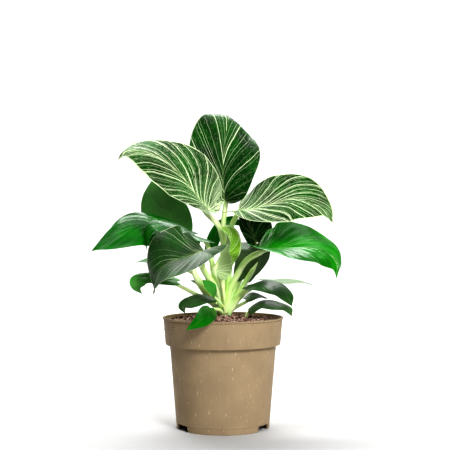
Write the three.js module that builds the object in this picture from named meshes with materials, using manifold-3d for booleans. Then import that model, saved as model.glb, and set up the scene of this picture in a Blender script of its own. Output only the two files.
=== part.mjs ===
// A young birkin philodendron in its round nursery pot.
// Millimetres, +Z up. The plant is laid out round the pot's axis, with the floor at z = 0,
// and the whole model is then moved so that its box is centred over the origin.

import * as THREE from 'three';
import { mergeVertices } from 'three/addons/utils/BufferGeometryUtils.js';
import Module from 'manifold-3d';

const wasm = await Module();
wasm.setup();

// Pot
const POT_HEIGHT = 109;
const POT_SIDES = 64;
const LIP_RADIUS = 60;
const LIP_DEPTH = 1.6;
const EDGE_ROUND = 0.4;
const COLLAR_TOP_RADIUS = 59.2;
const COLLAR_FOOT_RADIUS = 56.8;
const COLLAR_FOOT = 82.3;
const BODY_TOP_RADIUS = 52.9;
const BODY_FOOT_RADIUS = 46;
const POT_WALL = 1.4;
const BASE_HEIGHT = 6.8;
const BASE_THICKNESS = 1.5;
const SEAM_PROUD = 0.4;
const NOTCH_ANGLE = 27;
const NOTCH_CENTRES = [-30, 90, 210];
const NOTCH_ROOF = 1.2;
const NOTCH_SLANT = 1.4;
const NOTCH_DEPTH = 12;
const DRAIN_HOLE_RADIUS = 3.5;
const DRAIN_HOLE_RING = 34;
const DRAIN_HOLES = 6;
const DRAIN_SIDES = 12;

// Soil
const SOIL_SIDES = 44;
const SOIL_RINGS = 9;
const SOIL_EDGE = 105.2;
const SOIL_CROWN = 109.4;
const SOIL_LUMP = 1.1;
const SOIL_CALM_EDGE = 6;
const FIT_GAP = 0.3;

// Stem and leaf stalks
const STEM_CENTRE = [2, 0];
const STEM_RADIUS = 5.4;
const STEM_FOOT = 88;
const STEM_TOP = 116;
const STEM_TAPER = 0.8;
const STEM_SIDES = 14;
const STALK_SIDES = 7;
const STALK_STEPS = 9;
const STALK_SWELL = 1.45;
const STALK_TIP_GAP = 0.35;
const STALK_REACH = 1.5;
const STALK_TAPER = 0.6;
const SHOOT_RADIUS = 2.2;
const SHOOT_FOOT_SWELL = 1.15;
const SHOOT_TIP_TAPER = 0.8;

// Leaf blades
const BLADE_THICKNESS = 0.8;
const KEEL = 0.9;
const RIB_SAMPLES = 40;
const BLADE_COLUMNS = [0, 0.1, 0.52, 1];
const VEIN_SWEEP = 1.25;
const BIG_BLADE = 20;
const BIG_BLADE_STATIONS = 15;
const SMALL_BLADE_STATIONS = 11;
const SINUS_REACH = 0.02;
const LEAST_CURL = 1;

// The place of the box's centre over the pot's axis
const BOX_CENTRE = [-7, 8];

const POT_COLOUR = 0x9c8465;
const SOIL_COLOUR = 0x4f3a2e;
const STALK_COLOUR = 0xa9c86a;
const DARK_LEAF = 0x1f4a26;
const STRIPED_LEAF = 0x4d7440;
const GREEN_LEAF = 0x2f7a2c;
const YOUNG_LEAF = 0x7fae3c;
const POT_ROUGHNESS = 0.55;
const SOIL_ROUGHNESS = 0.95;
const STALK_ROUGHNESS = 0.45;
const LEAF_ROUGHNESS = 0.35;

// The margin of a blade from its sinus to its tip. Each point holds its place along the rib and
// beside the rib, as fractions of length and half width, and where on the rib its vein starts.
const MARGIN = new THREE.CatmullRomCurve3([
  new THREE.Vector3(0, 0, 0),
  new THREE.Vector3(-0.06, 0.12, 0),
  new THREE.Vector3(-0.105, 0.34, 0),
  new THREE.Vector3(-0.07, 0.62, 0),
  new THREE.Vector3(0.06, 0.87, 0.03),
  new THREE.Vector3(0.24, 0.99, 0.1),
  new THREE.Vector3(0.42, 1, 0.21),
  new THREE.Vector3(0.58, 0.91, 0.35),
  new THREE.Vector3(0.73, 0.71, 0.5),
  new THREE.Vector3(0.86, 0.42, 0.66),
  new THREE.Vector3(0.94, 0.17, 0.82),
  new THREE.Vector3(1, 0, 1),
], false, 'centripetal');

// Every blade. Where a value has two numbers, the left half comes first, as seen from above with
// the tip ahead.
// rib: points of the midrib from the stalk to the tip
// face: the ways the upper face looks, evenly spaced from the stalk to the tip
// half: the greatest width of each half
// fold, tipFold: degrees that each half lifts from flat, at the stalk and at the tip
// curl: degrees that each half then bends back on its way to the margin
// lobe: how far each half reaches behind the stalk, as a share of the margin curve's reach
// stalk: points of the leaf stalk from the stem to the blade
// stalkRadius: its radius at the blade, where it isn't taken from the blade's width
// clearance: how much further below the blade it ends
const LEAVES = [
  {
    name: 'leaf_top',
    colour: DARK_LEAF,
    rib: [
      [2, 20, 224], [0, 22, 251], [1, 25, 274], [3, 34, 293], [7, 49, 308], [11, 66, 314],
      [13, 78, 311],
    ],
    face: [[-0.18, -0.94, 0.28], [-0.01, -0.97, 0.24], [0.14, -0.5, 0.85], [0.05, -0.2, 0.98]],
    half: [37, 37],
    fold: [43, 49],
    tipFold: [1, -40],
    curl: [21, 20],
    lobe: [0.5, 0.3],
    stalk: [[2, 2, 114], [2, 7, 150], [1, 13, 176], [0, 20, 202]],
    stalkRadius: 3.1,
  },
  {
    name: 'leaf_upper_left',
    colour: STRIPED_LEAF,
    rib: [
      [-15, -18, 215], [-16, -19, 217], [-23, -21, 225], [-38, -25, 245], [-52, -30, 258],
      [-67, -34, 268], [-85, -37, 272], [-96, -40, 269], [-100, -42, 262],
    ],
    face: [[0.59, -0.48, 0.65], [0.49, -0.74, 0.45], [0.32, -0.67, 0.67], [-0.57, -0.5, 0.65]],
    half: [31, 44],
    fold: [26, 17],
    tipFold: [-33, -31],
    curl: [3, 4],
    lobe: [0.9, 1],
    stalk: [[1, -3, 114], [-1.5, -5.5, 135], [-1.5, -7, 155], [0, -9.5, 180], [-5, -12.3, 199.5]],
    stalkRadius: 3.2,
    clearance: 0.6,
  },
  {
    name: 'leaf_upper_right',
    colour: STRIPED_LEAF,
    rib: [
      [14, -8, 214], [26, -12, 215], [46, -18, 220], [68, -22, 225], [84, -26, 222], [99, -28, 213],
      [106, -30, 202],
    ],
    face: [[0.43, -0.52, 0.74], [-0.29, -0.79, 0.54], [0.72, -0.68, 0.18]],
    half: [35, 33],
    fold: [8, 27],
    tipFold: [-9, 9],
    curl: [5, 8],
    lobe: [0, 1.1],
    stalk: [[3, -1, 114], [5, 0, 145], [7, -2, 175], [8, -3, 198]],
    stalkRadius: 2.8,
  },
  {
    name: 'leaf_right',
    colour: GREEN_LEAF,
    rib: [
      [35, -14, 176], [47, -20, 177], [80, -25, 178], [101, -28, 173], [111, -29, 161],
      [110, -28, 148],
    ],
    face: [[0.03, -0.54, 0.84], [-0.05, -0.63, 0.78], [0.12, -0.47, 0.87], [0.97, -0.24, 0]],
    half: [38, 32],
    fold: [11, 48],
    tipFold: [-9, -23],
    curl: [3, 5],
    lobe: [0.2, 0.2],
    stalk: [[3, -3, 114], [6, -5, 135], [13, -7, 149], [23, -9, 165]],
    stalkRadius: 2.9,
  },
  {
    name: 'leaf_far_left',
    colour: GREEN_LEAF,
    rib: [[-34, 16, 191], [-58, 10, 198], [-85, 4, 199], [-105, -2, 189], [-130, -6, 174]],
    face: [[0.21, -0.45, 0.87], [0.2, -0.61, 0.77], [-0.31, -0.48, 0.82]],
    half: [30, 29],
    fold: [-3, -6],
    tipFold: [5, 2],
    curl: [11, 20],
    lobe: [1, 1],
    stalk: [[0, -1, 114], [-14, 4, 129], [-24, 7, 142], [-30, 9, 156], [-34, 15, 174]],
    stalkRadius: 2.8,
  },
  {
    name: 'leaf_mid_left',
    colour: GREEN_LEAF,
    rib: [
      [-15, -1, 185], [-28, -6, 189], [-46, -10, 197], [-57, -14, 199], [-69, -17, 198],
      [-73, -19, 190], [-75, -20, 174],
    ],
    face: [[0.08, -0.18, 0.98], [-0.02, -0.5, 0.87], [-0.96, -0.24, 0.13]],
    half: [13, 19],
    fold: [0, -5],
    tipFold: [0, 0],
    curl: [10, 10],
    lobe: [1, 1],
    stalk: [[0, -4, 112], [-1, -5, 127], [-7, -6, 149], [-12, -4, 167]],
    stalkRadius: 2.3,
  },
  {
    name: 'leaf_front_left',
    colour: DARK_LEAF,
    rib: [[-18, -47, 176], [-28, -51, 172], [-54, -51, 163], [-62, -47, 153], [-66, -39, 133]],
    face: [[-0.49, -0.62, 0.61], [-0.31, -0.68, 0.66], [-0.84, -0.26, 0.48]],
    half: [31, 41],
    fold: [19, 11],
    tipFold: [16, 6],
    curl: [5, 4],
    lobe: [2.6, 0],
    stalk: [[-1, -4, 114], [-5, -8, 135], [-13, -13, 147], [-20, -20, 159]],
    stalkRadius: 2.8,
  },
  {
    name: 'leaf_back_left',
    colour: GREEN_LEAF,
    rib: [[-44, 43, 189], [-52, 49, 208], [-63, 55, 224], [-71, 65, 254]],
    face: [[-0.36, -0.85, 0.38]],
    half: [29, 19],
    fold: [5, 12],
    tipFold: [1, 3],
    curl: [15, 15],
    lobe: [1, 0.8],
    stalk: [[0, 3, 112], [-12, 12, 140], [-26, 28, 165], [-33, 43, 180]],
  },
  {
    name: 'leaf_young',
    colour: YOUNG_LEAF,
    rib: [
      [-6.3, -17, 155], [-4.4, -17, 164], [-0.9, -17.5, 173.6], [4, -18.5, 184], [3.2, -20, 192.5],
      [-3.6, -22, 197.5],
    ],
    face: [[1, 0, 0.1], [0.3, -0.9, 0.2]],
    half: [20, 19],
    fold: [66, 55],
    tipFold: [62, 5],
    curl: [10, 12],
    lobe: [1.5, 0],
    stalk: [[1, -5, 114], [-1.6, -8.5, 130], [-4.6, -12.3, 143]],
    stalkRadius: 2.3,
    clearance: 0.3,
  },
  {
    name: 'leaf_back_right',
    colour: DARK_LEAF,
    rib: [[33, 24, 184], [30, 25, 193], [27, 27, 203], [33, 34, 220], [42, 42, 234]],
    face: [[0.03, -0.93, 0.37]],
    half: [11, 22],
    fold: [8, 8],
    tipFold: [8, 8],
    curl: [12, 12],
    lobe: [1, 1],
    stalk: [[4, 3, 114], [14, 14, 140], [26, 26, 162]],
    stalkRadius: 2.8,
  },
  {
    name: 'leaf_dark_right',
    colour: DARK_LEAF,
    rib: [[29, 5, 153], [36, 8, 165], [40, 12, 176], [40, 15, 186]],
    face: [[0.3, 0.85, 0.35]],
    half: [15, 25],
    fold: [72, 12],
    tipFold: [60, 16],
    curl: [8, 14],
    lobe: [2.6, 4],
    stalk: [[4, -1, 114], [12, 0, 125], [20, 1, 139]],
    stalkRadius: 2.8,
    clearance: 0.2,
  },
  {
    name: 'leaf_low_right',
    colour: DARK_LEAF,
    rib: [[26, -10, 140], [37, -14, 142], [54, -18, 138], [62, -20, 131], [67, -22, 121]],
    face: [[0.19, -0.33, 0.92]],
    half: [18, 17],
    fold: [-5, 7],
    tipFold: [8, -8],
    curl: [9, 11],
    lobe: [1, 1],
    stalk: [[5, -3, 112], [10, -5, 120], [16, -7, 129]],
    stalkRadius: 2.3,
  },
  {
    name: 'leaf_small_right',
    colour: DARK_LEAF,
    rib: [[24, 17, 125], [34, 20, 129], [46, 26, 125]],
    face: [[0, -0.3, 0.95]],
    half: [9, 9],
    fold: [5, 5],
    tipFold: [5, 5],
    curl: [10, 10],
    lobe: [1, 1],
    stalk: [[5, 3, 112], [12, 9, 117]],
  },
  {
    name: 'leaf_far_right',
    colour: GREEN_LEAF,
    rib: [[41, 30, 144], [59, 40, 142], [78, 50, 142], [100, 58, 135]],
    face: [[0.01, -0.12, 0.99]],
    half: [16, 16],
    fold: [1, 7],
    tipFold: [5, 1],
    curl: [10, 10],
    lobe: [1, 1],
    stalk: [[5, 4, 112], [15, 14, 124], [27, 23, 135]],
    stalkRadius: 1.7,
  },
  {
    name: 'leaf_low_left',
    colour: DARK_LEAF,
    rib: [[-48, 2, 144], [-63, 0, 147], [-77, -4, 148], [-84, -8, 145], [-85, -10, 138], [-79, -12, 132]],
    face: [[0.17, -0.38, 0.91]],
    half: [13, 11],
    fold: [6, 4],
    tipFold: [2, 5],
    curl: [10, 10],
    lobe: [1, 1],
    stalk: [[-1, -1, 112], [-13, 4, 123], [-31, 4, 133]],
  },
  {
    name: 'leaf_far_left_low',
    colour: GREEN_LEAF,
    rib: [[-65, 40, 162], [-78, 48, 164], [-91, 55, 161]],
    face: [[0, -0.3, 0.95]],
    half: [10, 10],
    fold: [5, 5],
    tipFold: [5, 5],
    curl: [10, 10],
    lobe: [1, 1],
    stalk: [[-1, 2, 112], [-16, 6, 133], [-24, 14, 146], [-40, 26, 156]],
  },
  {
    name: 'leaf_curl_left',
    colour: DARK_LEAF,
    rib: [[-9, -9, 127], [-18, -12, 128], [-30, -16, 125], [-39, -20, 121], [-37, -22, 114]],
    face: [[-0.02, -0.49, 0.87], [0.03, -0.84, 0.54]],
    half: [8, 9],
    fold: [4, -5],
    tipFold: [-1, 2],
    curl: [12, 12],
    lobe: [0.6, 0.6],
    stalk: [[1, -2, 113], [-3, -4, 120]],
  },
  {
    name: 'leaf_rim_front',
    colour: GREEN_LEAF,
    rib: [[-13, -29, 120], [-15, -48, 117.5], [-21, -65, 111], [-34, -75, 103]],
    face: [[0.35, -0.36, 0.86]],
    half: [10, 8],
    fold: [-2, -2],
    tipFold: [0, 0],
    curl: [11, 10],
    lobe: [0.9, 1.1],
    stalk: [[1, -4, 113], [-5, -13, 117]],
  },
  {
    name: 'leaf_cup',
    colour: DARK_LEAF,
    rib: [[-8, -18, 131], [-10, -21, 136], [-20, -23, 146]],
    face: [[0.35, -0.66, 0.67]],
    half: [6, 9],
    fold: [11, 2],
    tipFold: [4, 6],
    curl: [7, 8],
    lobe: [0, 0],
    stalk: [[1, -5, 113], [0, -12, 120]],
    stalkRadius: 1.1,
    clearance: 0.4,
  },
  {
    name: 'leaf_back_centre',
    colour: GREEN_LEAF,
    rib: [[-14, 25, 168], [-9, 28, 185], [-1, 32, 199], [10, 36, 204], [20, 40, 199]],
    face: [[-0.7, -0.7, 0.2]],
    half: [10, 10],
    fold: [10, 10],
    tipFold: [10, 10],
    curl: [10, 10],
    lobe: [1, 1],
    stalk: [[0, 3, 113], [-5, 8, 135], [-11, 20, 152]],
  },
  {
    name: 'leaf_rear_right',
    colour: DARK_LEAF,
    rib: [[12, 44, 176], [18, 60, 181], [24, 78, 180], [30, 96, 172]],
    face: [[0.1, -0.1, 1]],
    half: [15, 15],
    fold: [10, 10],
    tipFold: [10, 10],
    curl: [20, 20],
    lobe: [1, 1],
    stalk: [[3, 5, 112], [4, 14, 140], [7, 28, 160]],
  },
  {
    name: 'leaf_rear_left',
    colour: DARK_LEAF,
    rib: [[-12, 34, 138], [-18, 50, 142], [-22, 66, 141], [-25, 84, 134]],
    face: [[0, -0.1, 1]],
    half: [15, 15],
    fold: [10, 10],
    tipFold: [10, 10],
    curl: [20, 20],
    lobe: [1, 1],
    stalk: [[1, 5, 112], [-4, 14, 122], [-9, 25, 131]],
  },
];

// The sheath that the young leaf came out of stands beside it, and is part of the crown.
const SHEATH = [[2, -6, 114], [1, -11, 127], [-0.5, -14.5, 138], [-2.5, -16.5, 147]];
const SHEATH_FOOT_RADIUS = 3.1;
const SHEATH_TIP_RADIUS = 1.2;

// The side shoot has a stub of its own in the soil, with one leaf over the pot's rim.
const SIDE_SHOOT = [[23, -10, 96], [23, -10, 109], [24, -11, 113]];
const SHOOT_LEAF = {
  name: 'leaf_rim_right',
  colour: DARK_LEAF,
  rib: [[25, -12, 116.3], [38, -14, 124], [50, -16, 123], [63, -18, 119], [67, -20, 111]],
  face: [[-0.06, -0.25, 0.97]],
  half: [14, 13],
  fold: [-4, -4],
  tipFold: [-4, -5],
  curl: [9, 10],
  lobe: [0, 0],
  clearance: 0.4,
};

function smoothCurve(points) {
  const vectors = points.map((point) => new THREE.Vector3(...point));
  return new THREE.CatmullRomCurve3(vectors, false, 'centripetal');
}

function toSolid(geometry) {
  const bare = geometry.clone();
  bare.deleteAttribute('normal');
  bare.deleteAttribute('uv');
  const merged = mergeVertices(bare, 1e-4);
  return new wasm.Manifold(new wasm.Mesh({
    numProp: 3,
    vertProperties: new Float32Array(merged.attributes.position.array),
    triVerts: new Uint32Array(merged.index.array),
  }));
}

function toGeometry(solid) {
  const mesh = solid.getMesh();
  const geometry = new THREE.BufferGeometry();
  geometry.setAttribute('position', new THREE.BufferAttribute(new Float32Array(mesh.vertProperties), 3));
  geometry.setIndex(new THREE.BufferAttribute(new Uint32Array(mesh.triVerts), 1));
  geometry.computeVertexNormals();
  return geometry;
}

function turned(profile, sides) {
  const points = profile.map(([radius, height]) => new THREE.Vector2(radius, height));
  const geometry = new THREE.LatheGeometry(points, sides);
  geometry.rotateX(Math.PI / 2);
  return geometry;
}

// The moulded pot: base plate inside a foot skirt, conical wall, step, collar and lip.
function potGeometry() {
  const plateTop = BASE_HEIGHT + BASE_THICKNESS;
  const lipFoot = POT_HEIGHT - LIP_DEPTH;
  const profile = [
    [0, BASE_HEIGHT],
    [BODY_FOOT_RADIUS - POT_WALL, BASE_HEIGHT],
    [BODY_FOOT_RADIUS - POT_WALL, 0],
    [BODY_FOOT_RADIUS, 0],
    [BODY_FOOT_RADIUS + EDGE_ROUND, BASE_HEIGHT - EDGE_ROUND],
    [BODY_FOOT_RADIUS + EDGE_ROUND + SEAM_PROUD, BASE_HEIGHT],
    [BODY_FOOT_RADIUS + EDGE_ROUND, BASE_HEIGHT + EDGE_ROUND],
    [BODY_TOP_RADIUS, COLLAR_FOOT],
    [COLLAR_FOOT_RADIUS - EDGE_ROUND, COLLAR_FOOT],
    [COLLAR_FOOT_RADIUS, COLLAR_FOOT + EDGE_ROUND],
    [COLLAR_TOP_RADIUS, lipFoot],
    [LIP_RADIUS, lipFoot + EDGE_ROUND],
    [LIP_RADIUS, POT_HEIGHT - EDGE_ROUND],
    [LIP_RADIUS - EDGE_ROUND, POT_HEIGHT],
    [COLLAR_TOP_RADIUS - POT_WALL, POT_HEIGHT],
    [COLLAR_FOOT_RADIUS - POT_WALL, COLLAR_FOOT + POT_WALL],
    [BODY_TOP_RADIUS - POT_WALL, COLLAR_FOOT + POT_WALL - EDGE_ROUND],
    [BODY_FOOT_RADIUS + EDGE_ROUND - POT_WALL, plateTop],
    [0, plateTop],
  ];
  let pot = toSolid(turned(profile, POT_SIDES));
  for (const centre of NOTCH_CENTRES) {
    pot = pot.subtract(toSolid(notchCutter(centre)));
  }
  for (let hole = 0; hole < DRAIN_HOLES; hole += 1) {
    const angle = (2 * Math.PI * hole) / DRAIN_HOLES;
    const through = 4 * BASE_THICKNESS;
    const cutter = new THREE.CylinderGeometry(DRAIN_HOLE_RADIUS, DRAIN_HOLE_RADIUS, through, DRAIN_SIDES);
    cutter.rotateX(Math.PI / 2);
    const [x, y] = [DRAIN_HOLE_RING * Math.cos(angle), DRAIN_HOLE_RING * Math.sin(angle)];
    cutter.translate(x, y, BASE_HEIGHT + BASE_THICKNESS / 2);
    pot = pot.subtract(toSolid(cutter));
  }
  return toGeometry(pot);
}

// A drainage notch in the foot skirt, narrower at its top, cut along the radius.
function notchCutter(centreDegrees) {
  const halfWidth = BODY_FOOT_RADIUS * Math.sin(THREE.MathUtils.degToRad(NOTCH_ANGLE / 2));
  const height = BASE_HEIGHT - NOTCH_ROOF;
  const outline = new THREE.Shape();
  outline.moveTo(-halfWidth, -1);
  outline.lineTo(halfWidth, -1);
  outline.lineTo(halfWidth - NOTCH_SLANT, height);
  outline.lineTo(-halfWidth + NOTCH_SLANT, height);
  outline.closePath();
  const cutter = new THREE.ExtrudeGeometry(outline, { depth: NOTCH_DEPTH, bevelEnabled: false });
  cutter.rotateX(Math.PI / 2);
  cutter.rotateZ(Math.PI);
  cutter.translate(0, BODY_FOOT_RADIUS - NOTCH_DEPTH / 2, 0);
  cutter.rotateZ(THREE.MathUtils.degToRad(centreDegrees - 90));
  return cutter;
}

// Potting mix: it follows the pot's inside, and its lumpy top rises a little to the stem.
function soilGeometry() {
  const wallTop = COLLAR_TOP_RADIUS - POT_WALL;
  const plateTop = BASE_HEIGHT + BASE_THICKNESS;
  const slope = (COLLAR_TOP_RADIUS - COLLAR_FOOT_RADIUS) / (POT_HEIGHT - COLLAR_FOOT);
  const edgeRadius = wallTop - (POT_HEIGHT - SOIL_EDGE) * slope - 2 * FIT_GAP;
  const step = COLLAR_FOOT + POT_WALL + FIT_GAP;
  const profile = [
    [0, plateTop + FIT_GAP],
    [BODY_FOOT_RADIUS - POT_WALL, plateTop + FIT_GAP],
    [BODY_TOP_RADIUS - POT_WALL - 2 * FIT_GAP, step],
    [COLLAR_FOOT_RADIUS - POT_WALL - 2 * FIT_GAP, step + FIT_GAP],
    [edgeRadius, SOIL_EDGE],
  ];
  for (let ring = 1; ring <= SOIL_RINGS; ring += 1) {
    const radius = edgeRadius * (1 - ring / SOIL_RINGS);
    profile.push([radius, SOIL_EDGE + (SOIL_CROWN - SOIL_EDGE) * (1 - (radius / edgeRadius) ** 2)]);
  }
  const bed = turned(profile, SOIL_SIDES);
  const place = bed.attributes.position;
  for (let index = 0; index < place.count; index += 1) {
    const [x, y, z] = [place.getX(index), place.getY(index), place.getZ(index)];
    const calm = Math.min(1, (edgeRadius - Math.hypot(x, y)) / SOIL_CALM_EDGE);
    if (z > SOIL_EDGE) place.setZ(index, z + SOIL_LUMP * calm * soilWaves(x, y));
  }
  let soil = toSolid(bed);
  soil = soil.subtract(toSolid(well(STEM_CENTRE, STEM_RADIUS + FIT_GAP, STEM_FOOT - FIT_GAP)));
  const shootFoot = SIDE_SHOOT[0];
  const shootWell = SHOOT_RADIUS * SHOOT_FOOT_SWELL + FIT_GAP;
  soil = soil.subtract(toSolid(well(shootFoot, shootWell, shootFoot[2] - FIT_GAP)));
  return toGeometry(soil);
}

// Crossing waves of unlike length make the uneven top of loose soil.
function soilWaves(x, y) {
  const small = Math.sin(x * 0.61 + 1.3) * Math.sin(y * 0.57 + 0.4);
  const broad = Math.sin(x * 0.23 - y * 0.31);
  return small + 0.6 * broad;
}

// The plain round hole that a stem stands in.
function well([x, y], radius, bottom) {
  const top = 2 * POT_HEIGHT;
  const hole = new THREE.CylinderGeometry(radius, radius, top - bottom, STEM_SIDES);
  hole.rotateX(Math.PI / 2);
  hole.translate(x, y, (top + bottom) / 2);
  return hole;
}

// A round stalk along a smooth curve, thick at the stem and slim at the blade.
function stalkGeometry(points, footRadius, tipRadius) {
  const curve = smoothCurve(points);
  const frames = curve.computeFrenetFrames(STALK_STEPS, false);
  const tube = new THREE.CylinderGeometry(1, 1, 1, STALK_SIDES, STALK_STEPS);
  const place = tube.attributes.position;
  for (let index = 0; index < place.count; index += 1) {
    const along = 0.5 + place.getY(index);
    const ring = Math.round(along * STALK_STEPS);
    const radius = footRadius + (tipRadius - footRadius) * along ** STALK_TAPER;
    const point = curve.getPointAt(along);
    point.addScaledVector(frames.normals[ring], -radius * place.getX(index));
    point.addScaledVector(frames.binormals[ring], radius * place.getZ(index));
    place.setXYZ(index, point.x, point.y, point.z);
  }
  return tube;
}

// A stalk ends under the start of the rib, a hair's breadth below the blade where the keel begins.
// Its flat end is a tilted disc, whose rim reaches up by the radius times the sine of the tilt.
function stalkTo(leaf) {
  const { point, forward, face } = ribFrames(leaf).frames[0];
  const arrival = point.clone().sub(new THREE.Vector3(...leaf.stalk.at(-1))).normalize();
  const rim = tipRadius(leaf) * Math.sqrt(1 - arrival.dot(face) ** 2);
  const drop = (BLADE_THICKNESS + KEEL) / 2 + STALK_TIP_GAP + (leaf.clearance ?? 0) + rim;
  const end = point.clone().addScaledVector(forward, STALK_REACH).addScaledVector(face, -drop);
  return [...leaf.stalk, end.toArray()];
}

function tipRadius(leaf) {
  return leaf.stalkRadius ?? Math.min(2.4, 1.1 + leaf.half[0] / 20);
}

// The short stem with every leaf stalk, and the papery sheath of the newest leaf, grown together.
function crownGeometry() {
  const topRadius = STEM_RADIUS * STEM_TAPER;
  const stem = new THREE.CylinderGeometry(topRadius, STEM_RADIUS, STEM_TOP - STEM_FOOT, STEM_SIDES);
  stem.rotateX(Math.PI / 2);
  stem.translate(STEM_CENTRE[0], STEM_CENTRE[1], (STEM_TOP + STEM_FOOT) / 2);
  let crown = toSolid(stem);
  for (const leaf of LEAVES) {
    const tip = tipRadius(leaf);
    crown = crown.add(toSolid(stalkGeometry(stalkTo(leaf), tip * STALK_SWELL, tip)));
  }
  crown = crown.add(toSolid(stalkGeometry(SHEATH, SHEATH_FOOT_RADIUS, SHEATH_TIP_RADIUS)));
  return toGeometry(crown);
}

// Upright frames along a rib: forward, side and the upper face, which looks where the leaf says.
function ribFrames(leaf) {
  const curve = smoothCurve(leaf.rib);
  const looks = leaf.face.map((look) => new THREE.Vector3(...look).normalize());
  const frames = [];
  for (let sample = 0; sample <= RIB_SAMPLES; sample += 1) {
    const along = sample / RIB_SAMPLES;
    const forward = curve.getTangentAt(along);
    const place = along * (looks.length - 1);
    const from = Math.min(Math.floor(place), Math.max(looks.length - 2, 0));
    const face = looks[from].clone().lerp(looks[Math.min(from + 1, looks.length - 1)], place - from);
    face.addScaledVector(forward, -face.dot(forward)).normalize();
    frames.push({ point: curve.getPointAt(along), forward, face, side: forward.clone().cross(face) });
  }
  return { frames, length: curve.getLength() };
}

// The frame at any place along the rib. Behind the stalk the blade runs straight on.
function frameAt(rib, along) {
  if (along <= 0) {
    const first = rib.frames[0];
    return { ...first, point: first.point.clone().addScaledVector(first.forward, along * rib.length) };
  }
  const place = Math.min(along, 1) * RIB_SAMPLES;
  const index = Math.min(Math.floor(place), RIB_SAMPLES - 1);
  const near = rib.frames[index];
  const far = rib.frames[index + 1];
  const share = place - index;
  return {
    point: near.point.clone().lerp(far.point, share),
    face: near.face.clone().lerp(far.face, share).normalize(),
    side: near.side.clone().lerp(far.side, share).normalize(),
  };
}

// A point of one half of a blade, at a distance beside the rib measured over the curved half.
function bladePoint(rib, leaf, half, along, across) {
  const { point, side, face } = frameAt(rib, along);
  const hand = half === 0 ? -1 : 1;
  const halfWidth = leaf.half[half];
  const beside = across * halfWidth;
  const foldDegrees = THREE.MathUtils.lerp(leaf.fold[half], leaf.tipFold[half], Math.max(along, 0));
  const fold = THREE.MathUtils.degToRad(foldDegrees);
  const curl = THREE.MathUtils.degToRad(Math.max(leaf.curl[half], LEAST_CURL));
  const bend = halfWidth / curl;
  const angle = fold - (curl * beside) / halfWidth;
  point.addScaledVector(side, hand * bend * (Math.sin(fold) - Math.sin(angle)));
  point.addScaledVector(face, bend * (Math.cos(angle) - Math.cos(fold)));
  return point;
}

// The veins of the lobes all start where the stalk joins.
function veinStart(vein) {
  return vein.z < SINUS_REACH ? 0 : vein.z;
}

// The middle sheet of a blade: veins sweep forward from the rib to the margin on both halves.
function bladeSheet(leaf, stations) {
  const rib = ribFrames(leaf);
  const points = [];
  const keel = [];
  const addPoint = (point, rise) => {
    points.push(point);
    keel.push(rise);
    return points.length - 1;
  };
  const sinus = addPoint(frameAt(rib, 0).point, 0);
  const tip = addPoint(frameAt(rib, 1).point, 0);
  const margin = [];
  const ribRow = [];
  for (let station = 0; station <= stations; station += 1) {
    const vein = MARGIN.getPoint(station / stations);
    margin.push(vein);
    const start = veinStart(vein);
    if (start === 0) ribRow.push(sinus);
    else if (station === stations) ribRow.push(tip);
    else ribRow.push(addPoint(frameAt(rib, start).point, KEEL * (1 - start)));
  }
  const triangles = [];
  const addTriangle = (a, b, c, hand) => {
    if (a === b || b === c || a === c) return;
    triangles.push(...(hand > 0 ? [a, b, c] : [a, c, b]));
  };
  for (const hand of [-1, 1]) {
    const half = hand < 0 ? 0 : 1;
    const grid = margin.map((vein, station) => BLADE_COLUMNS.map((column) => {
      if (station === 0) return sinus;
      if (station === stations) return tip;
      if (column === 0) return ribRow[station];
      const start = veinStart(vein);
      const reach = vein.x < 0 ? vein.x * leaf.lobe[half] : vein.x;
      const along = start + (reach - start) * column ** VEIN_SWEEP;
      return addPoint(bladePoint(rib, leaf, half, along, vein.y * column), 0);
    }));
    for (let station = 0; station < stations; station += 1) {
      for (let column = 0; column < BLADE_COLUMNS.length - 1; column += 1) {
        const [a, b] = [grid[station][column], grid[station][column + 1]];
        const [c, d] = [grid[station + 1][column], grid[station + 1][column + 1]];
        addTriangle(a, b, d, hand);
        addTriangle(a, d, c, hand);
      }
    }
  }
  return { points, keel, triangles };
}

// A sheet gets its thickness: the same triangles above and below, and a wall along the margin.
function thickened({ points, keel, triangles }) {
  const normals = points.map(() => new THREE.Vector3());
  const edges = new Map();
  for (let index = 0; index < triangles.length; index += 3) {
    const corners = triangles.slice(index, index + 3);
    const [a, b, c] = corners.map((corner) => points[corner]);
    const normal = b.clone().sub(a).cross(c.clone().sub(a));
    corners.forEach((corner, place) => {
      normals[corner].add(normal);
      const next = corners[(place + 1) % 3];
      const reverse = `${next}_${corner}`;
      if (edges.has(reverse)) edges.delete(reverse);
      else edges.set(`${corner}_${next}`, [corner, next]);
    });
  }
  const count = points.length;
  const place = [];
  points.forEach((point, index) => {
    normals[index].normalize();
    place.push(...point.clone().addScaledVector(normals[index], BLADE_THICKNESS / 2).toArray());
  });
  points.forEach((point, index) => {
    const depth = BLADE_THICKNESS / 2 + keel[index];
    place.push(...point.clone().addScaledVector(normals[index], -depth).toArray());
  });
  const faces = [...triangles];
  for (let index = 0; index < triangles.length; index += 3) {
    faces.push(triangles[index] + count, triangles[index + 2] + count, triangles[index + 1] + count);
  }
  for (const [from, to] of edges.values()) {
    faces.push(to, from, from + count, to, from + count, to + count);
  }
  const geometry = new THREE.BufferGeometry();
  geometry.setAttribute('position', new THREE.Float32BufferAttribute(place, 3));
  geometry.setIndex(faces);
  geometry.computeVertexNormals();
  return geometry;
}

function bladeGeometry(leaf) {
  const stations = leaf.half[0] > BIG_BLADE ? BIG_BLADE_STATIONS : SMALL_BLADE_STATIONS;
  return thickened(bladeSheet(leaf, stations));
}

function named(name, geometry, colour, roughness) {
  const material = new THREE.MeshStandardMaterial({ color: colour, roughness, metalness: 0 });
  const mesh = new THREE.Mesh(geometry, material);
  mesh.name = name;
  return mesh;
}

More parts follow.
